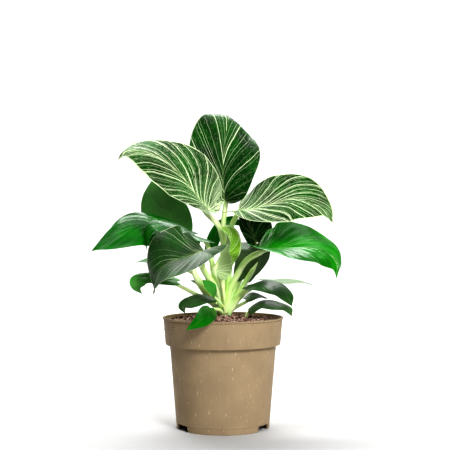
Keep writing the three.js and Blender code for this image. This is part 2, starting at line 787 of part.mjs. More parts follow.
function sideShootGeometry() {
  const tip = SHOOT_RADIUS * SHOOT_TIP_TAPER;
  const stalk = stalkTo({ ...SHOOT_LEAF, stalk: SIDE_SHOOT, stalkRadius: tip });
  return stalkGeometry(stalk, SHOOT_RADIUS * SHOOT_FOOT_SWELL, tip);
}

const plant = new THREE.Group();
plant.add(named('pot', potGeometry(), POT_COLOUR, POT_ROUGHNESS));
plant.add(named('soil', soilGeometry(), SOIL_COLOUR, SOIL_ROUGHNESS));
plant.add(named('crown', crownGeometry(), STALK_COLOUR, STALK_ROUGHNESS));
plant.add(named('side_shoot', sideShootGeometry(), STALK_COLOUR, STALK_ROUGHNESS));
for (const leaf of [...LEAVES, SHOOT_LEAF]) {
  plant.add(named(leaf.name, bladeGeometry(leaf), leaf.colour, LEAF_ROUGHNESS));
}
plant.position.set(-BOX_CENTRE[0], -BOX_CENTRE[1], 0);

const group = new THREE.Group();
group.add(plant);

export default group;
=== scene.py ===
# A young birkin philodendron in its nursery pot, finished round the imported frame.
# Sizes are in millimetres round the pot's axis, and are turned to metres where a mesh is made.
import math

import bmesh
import bpy
import numpy as np
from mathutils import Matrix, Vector


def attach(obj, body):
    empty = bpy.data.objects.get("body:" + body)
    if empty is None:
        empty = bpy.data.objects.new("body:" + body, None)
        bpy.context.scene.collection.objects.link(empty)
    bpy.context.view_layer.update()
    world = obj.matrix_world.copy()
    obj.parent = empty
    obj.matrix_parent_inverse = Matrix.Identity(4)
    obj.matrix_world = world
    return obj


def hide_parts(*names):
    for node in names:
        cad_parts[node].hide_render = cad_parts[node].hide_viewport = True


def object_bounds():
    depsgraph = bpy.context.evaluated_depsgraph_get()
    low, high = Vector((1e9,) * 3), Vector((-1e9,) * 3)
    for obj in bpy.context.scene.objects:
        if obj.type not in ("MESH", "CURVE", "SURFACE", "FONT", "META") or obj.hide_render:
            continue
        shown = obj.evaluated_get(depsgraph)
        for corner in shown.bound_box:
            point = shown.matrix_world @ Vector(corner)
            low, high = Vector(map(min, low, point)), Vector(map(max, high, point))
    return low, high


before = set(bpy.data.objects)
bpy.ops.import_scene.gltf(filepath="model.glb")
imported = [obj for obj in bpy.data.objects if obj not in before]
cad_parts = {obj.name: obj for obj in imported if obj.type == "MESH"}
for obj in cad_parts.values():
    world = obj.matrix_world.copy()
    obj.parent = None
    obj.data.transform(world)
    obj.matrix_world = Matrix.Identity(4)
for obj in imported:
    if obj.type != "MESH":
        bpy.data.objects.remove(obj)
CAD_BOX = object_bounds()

bl_info = {
    "name": "Potted Birkin Philodendron",
    "version": (1, 0, 0),
    "blender": (4, 5, 0),
    "location": "3D View > Sidebar > Birkin",
    "description": "Makes a birkin philodendron with its soil and pot, and a studio to see it in",
    "category": "Object",
}

MM = 0.001
AXIS = np.array((7.0, -8.0, 0.0))  # the pot's axis in the frame
CAD_CORNERS = np.array([list(corner) for corner in CAD_BOX]) / MM - AXIS
FULL_TURN = 2 * math.pi
HANDS = (-1, 1)  # a blade's left half and its right half
SHOOT_RADIUS = 2.2
SHOOT_FOOT_SWELL = 1.15
SHOOT_TIP_TAPER = 0.8

LEAF_SLOTS = dict(
    dark="leaf_dark", satin="leaf_dark", striped="leaf_striped", green="leaf_green",
    fresh="leaf_green", young="leaf_young",
)


def grown(node, finish, cream, **sizes):
    """A blade and its stalk, with the usual sizes where none are given."""
    usual = dict(
        slot=LEAF_SLOTS[finish], pale=0, tip_fold=sizes["fold"], curl=(10, 10), lobe=(1, 1),
        stalk=None, stalk_radius=min(2.4, 1.1 + sizes["half"][0] / 20),
    )
    return {"node": node, "finish": finish, "cream": cream, **usual, **sizes}


# Every blade: its node, its finish and how strongly its pale lines show. Where a value has two
# numbers, the left half comes first, as seen from above with the tip ahead. slot: the material
# slot, where it isn't its finish's own. pale: how far a painted grey-green sheen and painted light
# pale it. rib: the midrib from the stalk to the tip. face: the ways the upper face looks. half: the
# greatest width of each half.
# fold, tip_fold: degrees that each half lifts from flat. curl: degrees that it then bends back.
# lobe: how far it reaches behind the stalk. stalk: the stalk from the stem to just below the rib.
LEAVES = (
    grown(
        "leaf_top", "dark", 1,
        rib=((2, 20, 224), (0, 22, 251), (1, 25, 274), (3, 34, 293), (5, 48, 310), (6, 62, 314.5),
             (10, 75, 308)),
        face=((-0.18, -0.94, 0.28), (-0.01, -0.97, 0.24), (0.2, -0.5, 0.85), (0.05, -0.2, 0.98)),
        half=(37, 37), fold=(43, 49), tip_fold=(1, -40), curl=(21, 20), lobe=(0.5, 0.3),
        stalk=((2, 2, 114), (2, 7, 150), (1, 13, 176), (0, 20, 202)), stalk_radius=3.1,
    ),
    grown(
        "leaf_upper_left", "striped", 1,
        rib=((-15, -18, 215), (-16, -19, 217), (-23, -21, 225), (-38, -25, 245), (-52, -30, 258),
             (-67, -34, 268), (-85, -37, 272), (-96, -40, 269), (-100, -42, 262)),
        face=((0.59, -0.48, 0.65), (0.49, -0.74, 0.45), (0.32, -0.67, 0.67), (-0.57, -0.5, 0.65)),
        half=(31, 44), fold=(26, 17), tip_fold=(-33, -31), curl=(3, 4), lobe=(0.9, 1),
        stalk=((1, -3, 114), (-1.5, -5.5, 135), (-1.5, -7, 155), (0, -9.5, 180),
               (-5, -12.3, 199.5)), stalk_radius=3.2,
    ),
    grown(
        "leaf_upper_right", "striped", 1,
        rib=((14, -8, 214), (26, -12, 215), (46, -18, 220), (68, -22, 225), (84, -26, 222),
             (99, -28, 213), (106, -30, 202)),
        face=((0.43, -0.52, 0.74), (-0.29, -0.79, 0.54), (0.72, -0.68, 0.18)),
        half=(35, 33), fold=(8, 27), tip_fold=(-9, 9), curl=(5, 8), lobe=(0, 1.1),
        stalk=((3, -1, 114), (5, 0, 145), (7, -2, 175), (8, -3, 198)), stalk_radius=2.8,
    ),
    grown(
        "leaf_right", "fresh", 0.6,
        rib=((35, -14, 176), (47, -20, 177), (80, -25, 178), (101, -28, 173), (111, -29, 161),
             (110, -28, 148)),
        face=((0.03, -0.54, 0.84), (-0.05, -0.63, 0.78), (0.12, -0.47, 0.87), (0.97, -0.24, 0)),
        half=(38, 32), fold=(11, 48), tip_fold=(-9, -23), curl=(3, 5), lobe=(0.2, 0.2),
        stalk=((3, -3, 114), (6, -5, 135), (13, -7, 149), (23, -9, 165)), stalk_radius=2.9,
    ),
    grown(
        "leaf_far_left", "green", 0.12,
        rib=((-34, 16, 191), (-58, 10, 198), (-85, 4, 199), (-105, -2, 189), (-130, -6, 174)),
        face=((0.21, -0.45, 0.87), (0.2, -0.61, 0.77), (-0.31, -0.48, 0.82)),
        half=(30, 29), fold=(-3, -6), tip_fold=(5, 2), curl=(11, 20),
        stalk=((0, -1, 114), (-14, 4, 129), (-24, 7, 142), (-30, 9, 156), (-34, 15, 174)),
        stalk_radius=2.8,
    ),
    grown(
        "leaf_mid_left", "green", 0.3,
        rib=((-15, -1, 185), (-28, -6, 189), (-46, -10, 197), (-57, -14, 199), (-69, -17, 198),
             (-73, -19, 190), (-75, -20, 174)),
        face=((0.08, -0.18, 0.98), (-0.02, -0.5, 0.87), (-0.96, -0.24, 0.13)),
        half=(13, 19), fold=(0, -5), tip_fold=(0, 0),
        stalk=((0, -4, 112), (-1, -5, 127), (-7, -6, 149), (-12, -4, 167)), stalk_radius=2.3,
    ),
    grown(
        "leaf_front_left", "satin", 0.6, pale=0.04,
        rib=((-18, -47, 176), (-28, -51, 172), (-54, -51, 163), (-62, -47, 153), (-66, -39, 133)),
        face=((-0.49, -0.62, 0.61), (-0.31, -0.68, 0.66), (-0.84, -0.26, 0.48)),
        half=(31, 41), fold=(19, 11), tip_fold=(16, 6), curl=(5, 4), lobe=(2.6, 0),
        stalk=((-1, -4, 114), (-5, -8, 135), (-13, -13, 147), (-20, -20, 159)), stalk_radius=2.8,
    ),
    grown(
        "leaf_back_left", "fresh", 0.15, pale=0.28,
        rib=((-44, 43, 189), (-52, 49, 208), (-63, 55, 224), (-71, 65, 254)),
        face=((-0.36, -0.85, 0.38),),
        half=(29, 19), fold=(5, 12), tip_fold=(1, 3), curl=(15, 15), lobe=(1, 0.8),
        stalk=((0, 3, 112), (-12, 12, 140), (-26, 28, 165), (-33, 43, 180)),
    ),
    grown(
        "leaf_young", "young", 1,
        rib=((-6.3, -17, 155), (-4.4, -17, 164), (-0.9, -17.5, 173.6), (4, -18.5, 184),
             (3.2, -20, 192.5), (-3.6, -22, 197.5)),
        face=((1, 0, 0.1), (0.3, -0.9, 0.2)),
        half=(20, 19), fold=(66, 55), tip_fold=(62, 5), curl=(10, 12), lobe=(1.5, 0),
        stalk=((1, -5, 114), (-1.6, -8.5, 130), (-4.6, -12.3, 143)), stalk_radius=2.3,
    ),
    grown(
        "leaf_back_right", "dark", 0.25,
        rib=((33, 24, 184), (30, 25, 193), (27, 27, 203), (33, 34, 220), (42, 42, 234)),
        face=((0.03, -0.93, 0.37),),
        half=(11, 22), fold=(8, 8), curl=(12, 12),
        stalk=((4, 3, 114), (14, 14, 140), (26, 26, 162)), stalk_radius=2.8,
    ),
    grown(
        "leaf_dark_right", "dark", 0.15,
        rib=((29, 5, 153), (36, 8, 165), (40, 12, 176), (40, 15, 186)),
        face=((0.3, 0.85, 0.35),),
        half=(15, 25), fold=(72, 12), tip_fold=(60, 16), curl=(8, 14), lobe=(2.6, 4),
        stalk=((4, -1, 114), (12, 0, 125), (20, 1, 139)), stalk_radius=2.8,
    ),
    grown(
        "leaf_low_right", "satin", 0.08, pale=0.05,
        rib=((26, -10, 140), (37, -14, 142), (54, -18, 138), (62, -20, 131), (67, -22, 121)),
        face=((0.19, -0.33, 0.92),),
        half=(18, 17), fold=(-5, 7), tip_fold=(8, -8), curl=(9, 11),
        stalk=((5, -3, 112), (10, -5, 120), (16, -7, 129)), stalk_radius=2.3,
    ),
    grown(
        "leaf_small_right", "satin", 0.1, pale=0.1,
        rib=((24, 17, 125), (34, 20, 129), (46, 26, 125)),
        face=((0, -0.3, 0.95),),
        half=(9, 9), fold=(5, 5),
        stalk=((5, 3, 112), (12, 9, 117)),
    ),
    grown(
        "leaf_far_right", "satin", 0.2, slot="leaf_green", pale=0.42,
        rib=((41, 30, 144), (59, 40, 142), (78, 50, 142), (100, 58, 135)),
        face=((0.01, -0.12, 0.99),),
        half=(16, 16), fold=(1, 7), tip_fold=(5, 1),
        stalk=((5, 4, 112), (15, 14, 124), (27, 23, 135)), stalk_radius=1.7,
    ),
    grown(
        "leaf_low_left", "fresh", 0.05, slot="leaf_dark", pale=0.2,
        rib=((-48, 2, 144), (-63, 0, 147), (-77, -4, 148), (-84, -8, 145), (-85, -10, 138),
             (-79, -12, 132)),
        face=((0.17, -0.38, 0.91),),
        half=(13, 11), fold=(6, 4), tip_fold=(2, 5),
        stalk=((-1, -1, 112), (-13, 4, 123), (-31, 4, 133)),
    ),
    grown(
        "leaf_far_left_low", "green", 0.1,
        rib=((-65, 40, 162), (-78, 48, 164), (-91, 55, 161)),
        face=((0, -0.3, 0.95),),
        half=(10, 10), fold=(5, 5),
        stalk=((-1, 2, 112), (-16, 6, 133), (-24, 14, 146), (-40, 26, 156)),
    ),
    grown(
        "leaf_curl_left", "satin", 0.08, pale=0.08,
        rib=((-9, -9, 127), (-18, -12, 128), (-30, -16, 125), (-39, -20, 121), (-37, -22, 114)),
        face=((-0.02, -0.49, 0.87), (0.03, -0.84, 0.54)),
        half=(8, 9), fold=(4, -5), tip_fold=(-1, 2), curl=(12, 12), lobe=(0.6, 0.6),
        stalk=((1, -2, 113), (-3, -4, 120)),
    ),
    grown(
        "leaf_rim_front", "green", 0.1,
        rib=((-13, -29, 120), (-15, -48, 117.5), (-21, -65, 111), (-34, -75, 103)),
        face=((0.35, -0.36, 0.86),),
        half=(10, 8), fold=(-2, -2), tip_fold=(0, 0), curl=(11, 10), lobe=(0.9, 1.1),
        stalk=((1, -4, 113), (-5, -13, 117)),
    ),
    grown(
        "leaf_cup", "fresh", 0.1, slot="leaf_dark", pale=0.1,
        rib=((-8, -18, 131), (-10, -21, 136), (-20, -23, 146)),
        face=((0.35, -0.66, 0.67),),
        half=(6, 9), fold=(11, 2), tip_fold=(4, 6), curl=(7, 8), lobe=(0, 0),
        stalk=((1, -5, 113), (0, -12, 120)), stalk_radius=1.1,
    ),
    grown(
        "leaf_back_centre", "green", 0.2,
        rib=((-14, 25, 168), (-9, 28, 185), (-1, 32, 199), (10, 36, 204), (20, 40, 199)),
        face=((-0.7, -0.7, 0.2),),
        half=(10, 10), fold=(10, 10),
        stalk=((0, 3, 113), (-5, 8, 135), (-11, 20, 152)),
    ),
    grown(
        "leaf_rear_right", "dark", 0.5,
        rib=((12, 44, 176), (18, 60, 181), (24, 78, 180), (30, 96, 172)),
        face=((0.1, -0.1, 1),),
        half=(15, 15), fold=(10, 10), curl=(20, 20),
        stalk=((3, 5, 112), (4, 14, 140), (7, 28, 160)),
    ),
    grown(
        "leaf_rear_left", "dark", 0.5,
        rib=((-12, 34, 138), (-18, 50, 142), (-22, 66, 141), (-25, 84, 134)),
        face=((0, -0.1, 1),),
        half=(15, 15), fold=(10, 10), curl=(20, 20),
        stalk=((1, 5, 112), (-4, 14, 122), (-9, 25, 131)),
    ),
    grown(
        "leaf_rim_right", "satin", 0.1, pale=0.1,
        rib=((25, -12, 116.3), (38, -14, 124), (50, -16, 123), (63, -18, 119), (67, -20, 111)),
        face=((-0.06, -0.25, 0.97),),
        half=(14, 13), fold=(-4, -4), tip_fold=(-4, -5), curl=(9, 10), lobe=(0, 0),
        stalk_radius=SHOOT_RADIUS * SHOOT_TIP_TAPER,
    ),
)
SHEATH = ((2, -6, 114), (1, -11, 127), (-0.5, -14.5, 138), (-2.5, -16.5, 147))
SIDE_SHOOT = ((23, -10, 96), (23, -10, 109), (24, -11, 113))

# The margin of a blade from its sinus to its tip: its place along the rib, its place beside the
# rib and the place on the rib where its vein starts.
MARGIN = (
    (0, 0, 0), (-0.06, 0.12, 0), (-0.105, 0.34, 0), (-0.07, 0.62, 0), (0.06, 0.87, 0),
    (0.24, 0.99, 0.02), (0.42, 1, 0.05), (0.58, 0.91, 0.1), (0.73, 0.71, 0.19),
    (0.86, 0.42, 0.33), (0.94, 0.17, 0.55), (1, 0, 1),
)


# Curves and meshes

NO_LENGTH = 1e-12
FLAT = 1e-9


def unit(vectors):
    return vectors / np.maximum(np.linalg.norm(vectors, axis=-1, keepdims=True), NO_LENGTH)


def square_to(along, ways):
    """What is left of each way when its share along a unit vector is taken off."""
    return ways - along * np.sum(ways * along, axis=-1, keepdims=True)


def through(points, places):
    """Points at the given places, from 0 to 1, of a smooth curve through all the points."""
    points = np.array(points, float)
    padded = np.vstack((2 * points[0] - points[1], points, 2 * points[-1] - points[-2]))
    gaps = np.linalg.norm(np.diff(padded, axis=0), axis=1) ** 0.5
    place = np.clip(places, 0, 1) * (len(points) - 1)
    index = np.minimum(place.astype(int), len(points) - 2)
    before, span, after = gaps[index], gaps[index + 1], gaps[index + 2]
    p0, p1, p2, p3 = (padded[index + step].T for step in range(4))
    leave = ((p1 - p0) / before - (p2 - p0) / (before + span) + (p2 - p1) / span) * span
    arrive = ((p2 - p1) / span - (p3 - p1) / (span + after) + (p3 - p2) / after) * span
    s = place - index
    square, cube = s * s, s * s * s
    curve = (
        (2 * cube - 3 * square + 1) * p1 + (cube - 2 * square + s) * leave
        + (3 * square - 2 * cube) * p2 + (cube - square) * arrive
    )
    return curve.T


class Path:
    """A smooth curve measured along its own length."""

    def __init__(self, points, samples=400):
        self.points = through(points, np.linspace(0, 1, samples))
        steps = np.linalg.norm(np.diff(self.points, axis=0), axis=1)
        self.run = np.concatenate(([0], np.cumsum(steps)))
        self.length = self.run[-1]
        self.tangents = unit(np.gradient(self.points, axis=0))

    def read(self, rows, share):
        run = np.clip(share, 0, 1) * self.length
        return np.stack([np.interp(run, self.run, rows[:, axis]) for axis in range(3)], -1)

    def at(self, share):
        return self.read(self.points, share)

    def tangent(self, share):
        return unit(self.read(self.tangents, share))


def placed(name, data):
    """A new object in the scene."""
    made = bpy.data.objects.new(name, data)
    bpy.context.scene.collection.objects.link(made)
    return made


def mesh_object(name, points, faces=(), edges=(), smooth=True):
    """A new object whose mesh has these points, in millimetres round the pot's axis."""
    mesh = bpy.data.meshes.new(name)
    mesh.from_pydata((np.asarray(points, float) + AXIS) * MM, edges, faces)
    mesh.polygons.foreach_set("use_smooth", [smooth] * len(mesh.polygons))
    mesh.validate()
    if len(mesh.polygons) != len(faces):
        raise RuntimeError(f"{name} lost faces")
    return placed(name, mesh)


def prism(name, near, far):
    """A closed solid between two rings of points, which run alike."""
    count = len(near)
    faces = [tuple(reversed(range(count))), tuple(range(count, 2 * count))]
    faces += [(side, (side + 1) % count, count + (side + 1) % count, count + side)
              for side in range(count)]
    return mesh_object(name, [*near, *far], faces, smooth=False)


def paint(mesh, name, values, domain="POINT", kind="FLOAT"):
    """Store a value, or one for each point, face or corner, under a name that others read."""
    layer = mesh.attributes.new(name, kind, domain)
    if kind == "FLOAT":
        layer.data.foreach_set("value", np.zeros(len(layer.data)) + values)
    else:
        layer.data.foreach_set("vector", np.asarray(values, float).ravel())


def mark_sharp(mesh, degrees):
    """Mark the edges that bend more than this, so that they shade as corners."""
    work = bmesh.new()
    work.from_mesh(mesh)
    for edge in work.edges:
        if len(edge.link_faces) == 2:
            edge.smooth = edge.calc_face_angle(0) < math.radians(degrees)
    for face in work.faces:
        face.smooth = True
    work.to_mesh(mesh)
    work.free()


def applied(source, name):
    """The source object's evaluated mesh as a plain object of its own. The source goes."""
    depsgraph = bpy.context.evaluated_depsgraph_get()
    depsgraph.update()
    mesh = bpy.data.meshes.new_from_object(
        source.evaluated_get(depsgraph), preserve_all_data_layers=True, depsgraph=depsgraph
    )
    mesh.name = name
    for modifier in list(source.modifiers):
        source.modifiers.remove(modifier)
    bpy.data.objects.remove(source)
    return placed(name, mesh)


def finished(piece, slot, *nodes):
    """Put a piece on the plant's body and hide the imported parts of these nodes, which it stands
    for.
    """
    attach(piece, "root")
    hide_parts(*nodes)


# Materials and geometry trees

def maths(operation, backwards=False):
    """A method of Channel that adds one Math node."""
    def method(self, *others):
        values = (*others, self) if backwards else (self, *others)
        return self.work.node(
            "ShaderNodeMath", {"operation": operation}, dict(enumerate(values))
        )
    return method


class Channel:
    """An output of a node tree under way, whose arithmetic adds Math nodes."""

    def __init__(self, work, socket):
        self.work = work
        self.socket = socket

    __add__ = __radd__ = maths("ADD")
    __mul__ = __rmul__ = maths("MULTIPLY")
    __sub__, __rsub__ = maths("SUBTRACT"), maths("SUBTRACT", backwards=True)
    floor, size, remainder = maths("FLOOR"), maths("ABSOLUTE"), maths("MODULO")
    most, least = maths("MAXIMUM"), maths("MINIMUM")
    sine, cosine = maths("SINE"), maths("COSINE")

    def between(self, low, high):
        """0 below low and 1 above high, with a soft step between them."""
        return self.work.node(
            "ShaderNodeMapRange", {"interpolation_type": "SMOOTHSTEP"},
            {"Value": self, "From Min": low, "From Max": high},
        )


class Nodes:
    """A node tree under way."""

    def __init__(self, tree):
        self.tree = tree

    def outputs(self, kind, settings=None, sockets=None):
        """Add a node: its settings first, then the values and links of its sockets."""
        made = self.tree.nodes.new(kind)
        for setting, value in (settings or {}).items():
            setattr(made, setting, value)
        for label, value in (sockets or {}).items():
            self.feed(made.inputs[label], value)
        return made.outputs

    def node(self, kind, settings=None, sockets=None, output=0):
        return Channel(self, self.outputs(kind, settings, sockets)[output])

    def parts(self, kind, settings=None, sockets=None):
        """Every output of a new node, such as the numbers that make up a vector."""
        return [Channel(self, socket) for socket in self.outputs(kind, settings, sockets)]

    def feed(self, place, value):
        if isinstance(value, list):
            for part in value:
                self.feed(place, part)
        elif isinstance(value, Channel):
            self.tree.links.new(value.socket, place)
        elif place.type == "RGBA":
            place.default_value = (*value[:3], 1)
        else:
            place.default_value = value

    def vectors(self, operation, values):
        return self.node("ShaderNodeVectorMath", {"operation": operation}, values)

    def joined(self, x, y, z=0.0):
        return self.node("ShaderNodeCombineXYZ", sockets={0: x, 1: y, 2: z})


class Finish(Nodes):
    """A procedural material round one Principled shader."""

    def __init__(self, name, **constants):
        self.material = bpy.data.materials.new(name)
        self.material.use_nodes = True
        super().__init__(self.material.node_tree)
        self.tree.nodes.clear()
        output = self.tree.nodes.new("ShaderNodeOutputMaterial")
        self.shader = self.tree.nodes.new("ShaderNodeBsdfPrincipled")
        self.tree.links.new(self.shader.outputs[0], output.inputs["Surface"])
        for label, value in constants.items():
            self.shader.inputs[label.replace("_", " ")].default_value = value

    def place(self, scale=(1, 1, 1)):
        """Object coordinates in millimetres, stretched by a scale."""
        where = self.node("ShaderNodeTexCoord", output="Object")
        return self.vectors("MULTIPLY", {0: where, 1: tuple(factor / MM for factor in scale)})

    def stored(self, name):
        return self.node("ShaderNodeAttribute", {"attribute_name": name}, output="Fac")

    def noise(self, where, scale, detail=2.0, roughness=0.5):
        return self.node("ShaderNodeTexNoise", sockets={
            "Vector": where, "Scale": scale, "Detail": detail, "Roughness": roughness,
        })

    def chance(self, where):
        """Three unrelated random numbers for each place of a grid."""
        colour = self.node("ShaderNodeTexWhiteNoise", sockets={"Vector": where}, output="Color")
        return self.parts("ShaderNodeSeparateColor", sockets={0: colour})

    def blend(self, factor, first, second):
        return self.node(
            "ShaderNodeMix", {"data_type": "RGBA"}, {0: factor, 6: first, 7: second}, output=2
        )

    def dress(self, colour, roughness, height=None, distance=0.0, strength=1.0):
        """Set what varies. Height is lit as standing this many millimetres proud where it is 1."""
        self.feed(self.shader.inputs["Base Color"], colour)
        self.feed(self.shader.inputs["Roughness"], roughness)
        if height:
            self.feed(self.shader.inputs["Normal"], self.node("ShaderNodeBump", sockets={
                "Height": height, "Distance": distance * MM, "Strength": strength,
            }))
        return self.material


class Growth(Nodes):
    """A geometry tree whose inputs are the geometry and these named sizes."""

    def __init__(self, name, sizes):
        super().__init__(bpy.data.node_groups.new(name, "GeometryNodeTree"))
        self.tree.is_modifier = True
        for label, kind in {"Geometry": "Geometry", **sizes}.items():
            self.tree.interface.new_socket(
                label, in_out="INPUT", socket_type=f"NodeSocket{kind}"
            )
        self.tree.interface.new_socket(
            "Geometry", in_out="OUTPUT", socket_type="NodeSocketGeometry"
        )
        start = self.tree.nodes.new("NodeGroupInput")
        self.given = {socket.name: Channel(self, socket) for socket in start.outputs}

    def random(self, low, high, seed, kind="FLOAT_VECTOR", output=0):
        return self.node(
            "FunctionNodeRandomValue", {"data_type": kind},
            {"Min": low, "Max": high, "Seed": seed}, output,
        )

    def store(self, geometry, name, value, domain="POINT"):
        return self.node(
            "GeometryNodeStoreNamedAttribute", {"data_type": "FLOAT", "domain": domain},
            {"Geometry": geometry, "Name": name, "Value": value},
        )

    def named(self, name, kind="FLOAT"):
        return self.node("GeometryNodeInputNamedAttribute", {"data_type": kind}, {"Name": name})

    def end(self, geometry, material):
        """Make real what the tree has placed, and give it its material."""
        real = self.node("GeometryNodeRealizeInstances", sockets={0: geometry})
        dressed = self.node(
            "GeometryNodeSetMaterial", sockets={"Geometry": real, "Material": material}
        )
        self.feed(self.tree.nodes.new("NodeGroupOutput").inputs[0], dressed)

    def run(self, source, name, values):
        """Run the tree on an object, and keep its result as a plain object."""
        modifier = source.modifiers.new(self.tree.name, "NODES")
        modifier.node_group = self.tree
        for item in self.tree.interface.items_tree:
            if item.in_out == "INPUT" and item.name in values:
                modifier[item.identifier] = values[item.name]
        made = applied(source, name)
        if not made.data.polygons:
            raise RuntimeError(f"{self.tree.name} made no faces")
        return made


# The pot

BODY_FOOT_RADIUS = 46.0
BASE_HEIGHT = 6.8
NOTCH_ANGLE = 27.0
NOTCH_CENTRES = (-30, 90, 210)
NOTCH_ROOF = 1.2
NOTCH_SLANT = 1.4
NOTCH_DEPTH = 12.0
DRAIN_HOLE_RADIUS = 3.5
DRAIN_HOLE_RING = 34.0
DRAIN_HOLES = 6
DRAIN_SIDES = 24
SHARP_DEGREES = 40
ROUNDING_ROOM = 2.2

# The wall's outline from the middle of the base out, up, over the lip and down inside: radius,
# height, and how far each corner is rounded.
POT_OUTLINE = (
    (0, 6.8, 0), (44.6, 6.8, 0.3), (44.6, 0, 0.3), (46, 0, 0.4), (46.35, 6.2, 0.2),
    (46.8, 6.8, 0.35), (46.5, 7.4, 0.2), (52.75, 81.6, 0.2), (52.5, 82.4, 0.2), (53.2, 83, 0.2),
    (56.2, 83, 0.2), (56.5, 82.3, 0.2), (57, 82.3, 0.25), (58.95, 105.9, 0.2),
    (58.6, 106.8, 0.15), (58.8, 107.3, 0.1), (60, 107.5, 0.4), (60, 109, 0.6), (57.8, 109, 0.5),
    (55.4, 83.7, 0.8), (51.5, 83.3, 0.8), (45, 8.3, 0.8), (0, 8.3, 0),
)


def rounded(outline, steps=4):
    """The outline with an arc of a few points in place of each corner that has a rounding."""
    points = []
    for index, (radius, height, bend) in enumerate(outline):
        here = np.array((radius, height), float)
        if not bend:
            points.append(here)
            continue
        ends = []
        for beside in (index - 1, index + 1):
            way = np.array(outline[beside][:2], float) - here
            ends.append(here + unit(way) * min(bend, np.linalg.norm(way) / ROUNDING_ROOM))
        for s in (step / steps for step in range(steps + 1)):
            points.append((1 - s) ** 2 * ends[0] + 2 * s * (1 - s) * here + s * s * ends[1])
    return points


def ring_point(radius, angle, height):
    return radius * math.cos(angle), radius * math.sin(angle), height


def turned(name, outline, segments):
    """Turn an outline of radius and height round the axis into a closed skin."""
    points, faces, rows = [], [], []
    for radius, height in outline:
        count = 1 if radius < 1e-6 else segments
        rows.append([len(points) + step for step in range(count)])
        points += [ring_point(radius, FULL_TURN * step / segments, height) for step in range(count)]
    for near, far in zip(rows, rows[1:]):
        for step in range(segments):
            after = (step + 1) % segments
            corners = [near[step % len(near)], near[after % len(near)],
                       far[after % len(far)], far[step % len(far)]]
            faces.append(list(dict.fromkeys(corners)))
    return mesh_object(name, points, faces)


def notch_cutter(centre):
    """A wedge that cuts a drainage notch through the foot, narrower at its top."""
    half = BODY_FOOT_RADIUS * math.sin(math.radians(NOTCH_ANGLE / 2))
    roof = BASE_HEIGHT - NOTCH_ROOF
    across = ((-half, -1), (half, -1), (half - NOTCH_SLANT, roof), (-half + NOTCH_SLANT, roof))
    out_x, out_y, _ = ring_point(1, math.radians(centre), 0)
    near, far = (
        [(reach * out_x - beside * out_y, reach * out_y + beside * out_x, height)
         for beside, height in across]
        for reach in (BODY_FOOT_RADIUS - NOTCH_DEPTH / 2, BODY_FOOT_RADIUS + NOTCH_DEPTH / 2)
    )
    return prism("notch_cutter", near, far)


def drain_cutter(angle):
    """A peg that cuts a drain hole through the base."""
    centre = np.array(ring_point(DRAIN_HOLE_RING, angle, 0))
    near, far = (
        [centre + ring_point(DRAIN_HOLE_RADIUS, FULL_TURN * side / DRAIN_SIDES, height)
         for side in range(DRAIN_SIDES)]
        for height in (BASE_HEIGHT - 2, BASE_HEIGHT + 4)
    )
    return prism("drain_cutter", near, far)


def make_pot_shell(segments):
    """The thin moulded pot: a turned wall, cut by the foot's notches and the drain holes."""
    wall = turned("pot_wall", rounded(POT_OUTLINE), segments)
    cutters = [notch_cutter(centre) for centre in NOTCH_CENTRES]
    cutters += [drain_cutter(FULL_TURN * hole / DRAIN_HOLES) for hole in range(DRAIN_HOLES)]
    for cutter in cutters:
        cut = wall.modifiers.new(cutter.name, "BOOLEAN")
        cut.operation, cut.solver, cut.object = "DIFFERENCE", "EXACT", cutter
    pot = applied(wall, "moulded_pot")
    for cutter in cutters:
        bpy.data.objects.remove(cutter)
    mark_sharp(pot.data, SHARP_DEGREES)
    return pot


# The flecks of the plastic: width and height of the cell that may hold one, its half thickness as
# a share of the cell, and the share of the cells that hold none.
FLECKS = ((1.8, 13.0, 0.09, 0.64), (1.2, 6.0, 0.1, 0.7))


def plastic(settings):
    """Satin taupe plastic with short pale flecks drawn out upwards, as recycled plastic has."""
    finish = Finish("taupe_plastic", IOR=1.46, Specular_IOR_Level=0.12)
    where = finish.place()
    flecks = 0.0
    for width, height, thickness, empty in FLECKS:
        cells = finish.place((1 / width, 1 / width, 1 / height))
        spots = finish.parts("ShaderNodeTexVoronoi", sockets={"Vector": cells, "Scale": 1.0})
        gap, cell = spots[:2]
        luck = finish.chance(cell)[0].between(empty, empty + 0.3)
        flecks = ((1 - gap.between(thickness, thickness * 2)) * luck).most(flecks)
    cloud = finish.noise(where, 0.035, 3.0).between(0.3, 0.7)
    streak = finish.noise(finish.place((0.5, 0.5, 0.04)), 1.0, 3.0).between(0.3, 0.75)
    grain = finish.noise(where, 2.2, 3.0, 0.6)
    colour = finish.blend(cloud * 0.6, settings.plastic, settings.plastic_shade)
    colour = finish.blend(streak * 0.14, colour, settings.plastic_light)
    colour = finish.blend(flecks * 0.75, colour, settings.fleck)
    roughness = 0.42 + 0.12 * grain + 0.08 * cloud
    return finish.dress(colour, roughness, grain * 0.7 + streak * 0.5, 0.05, 0.35)


# The potting mix

SOIL_EDGE = 105.2
SOIL_CROWN = 109.4
SOIL_EDGE_RADIUS = 56.8
SOIL_LUMP = 1.1
SOIL_CALM_EDGE = 6.0
CRUMB_DEPTH = 0.3
BED_TONE = 0.25
UPWARD = 0.5
CRUMB_SEED = 3
FIBRE_SEED = 8
FIBRE_TILT = 0.25
DENTS = 1400.0
DENT_DEPTH = 0.0011
SOIL_SIDE = ((0, 8.6), (44.4, 8.6), (50.9, 84.0), (54.8, 84.3), (SOIL_EDGE_RADIUS, SOIL_EDGE))


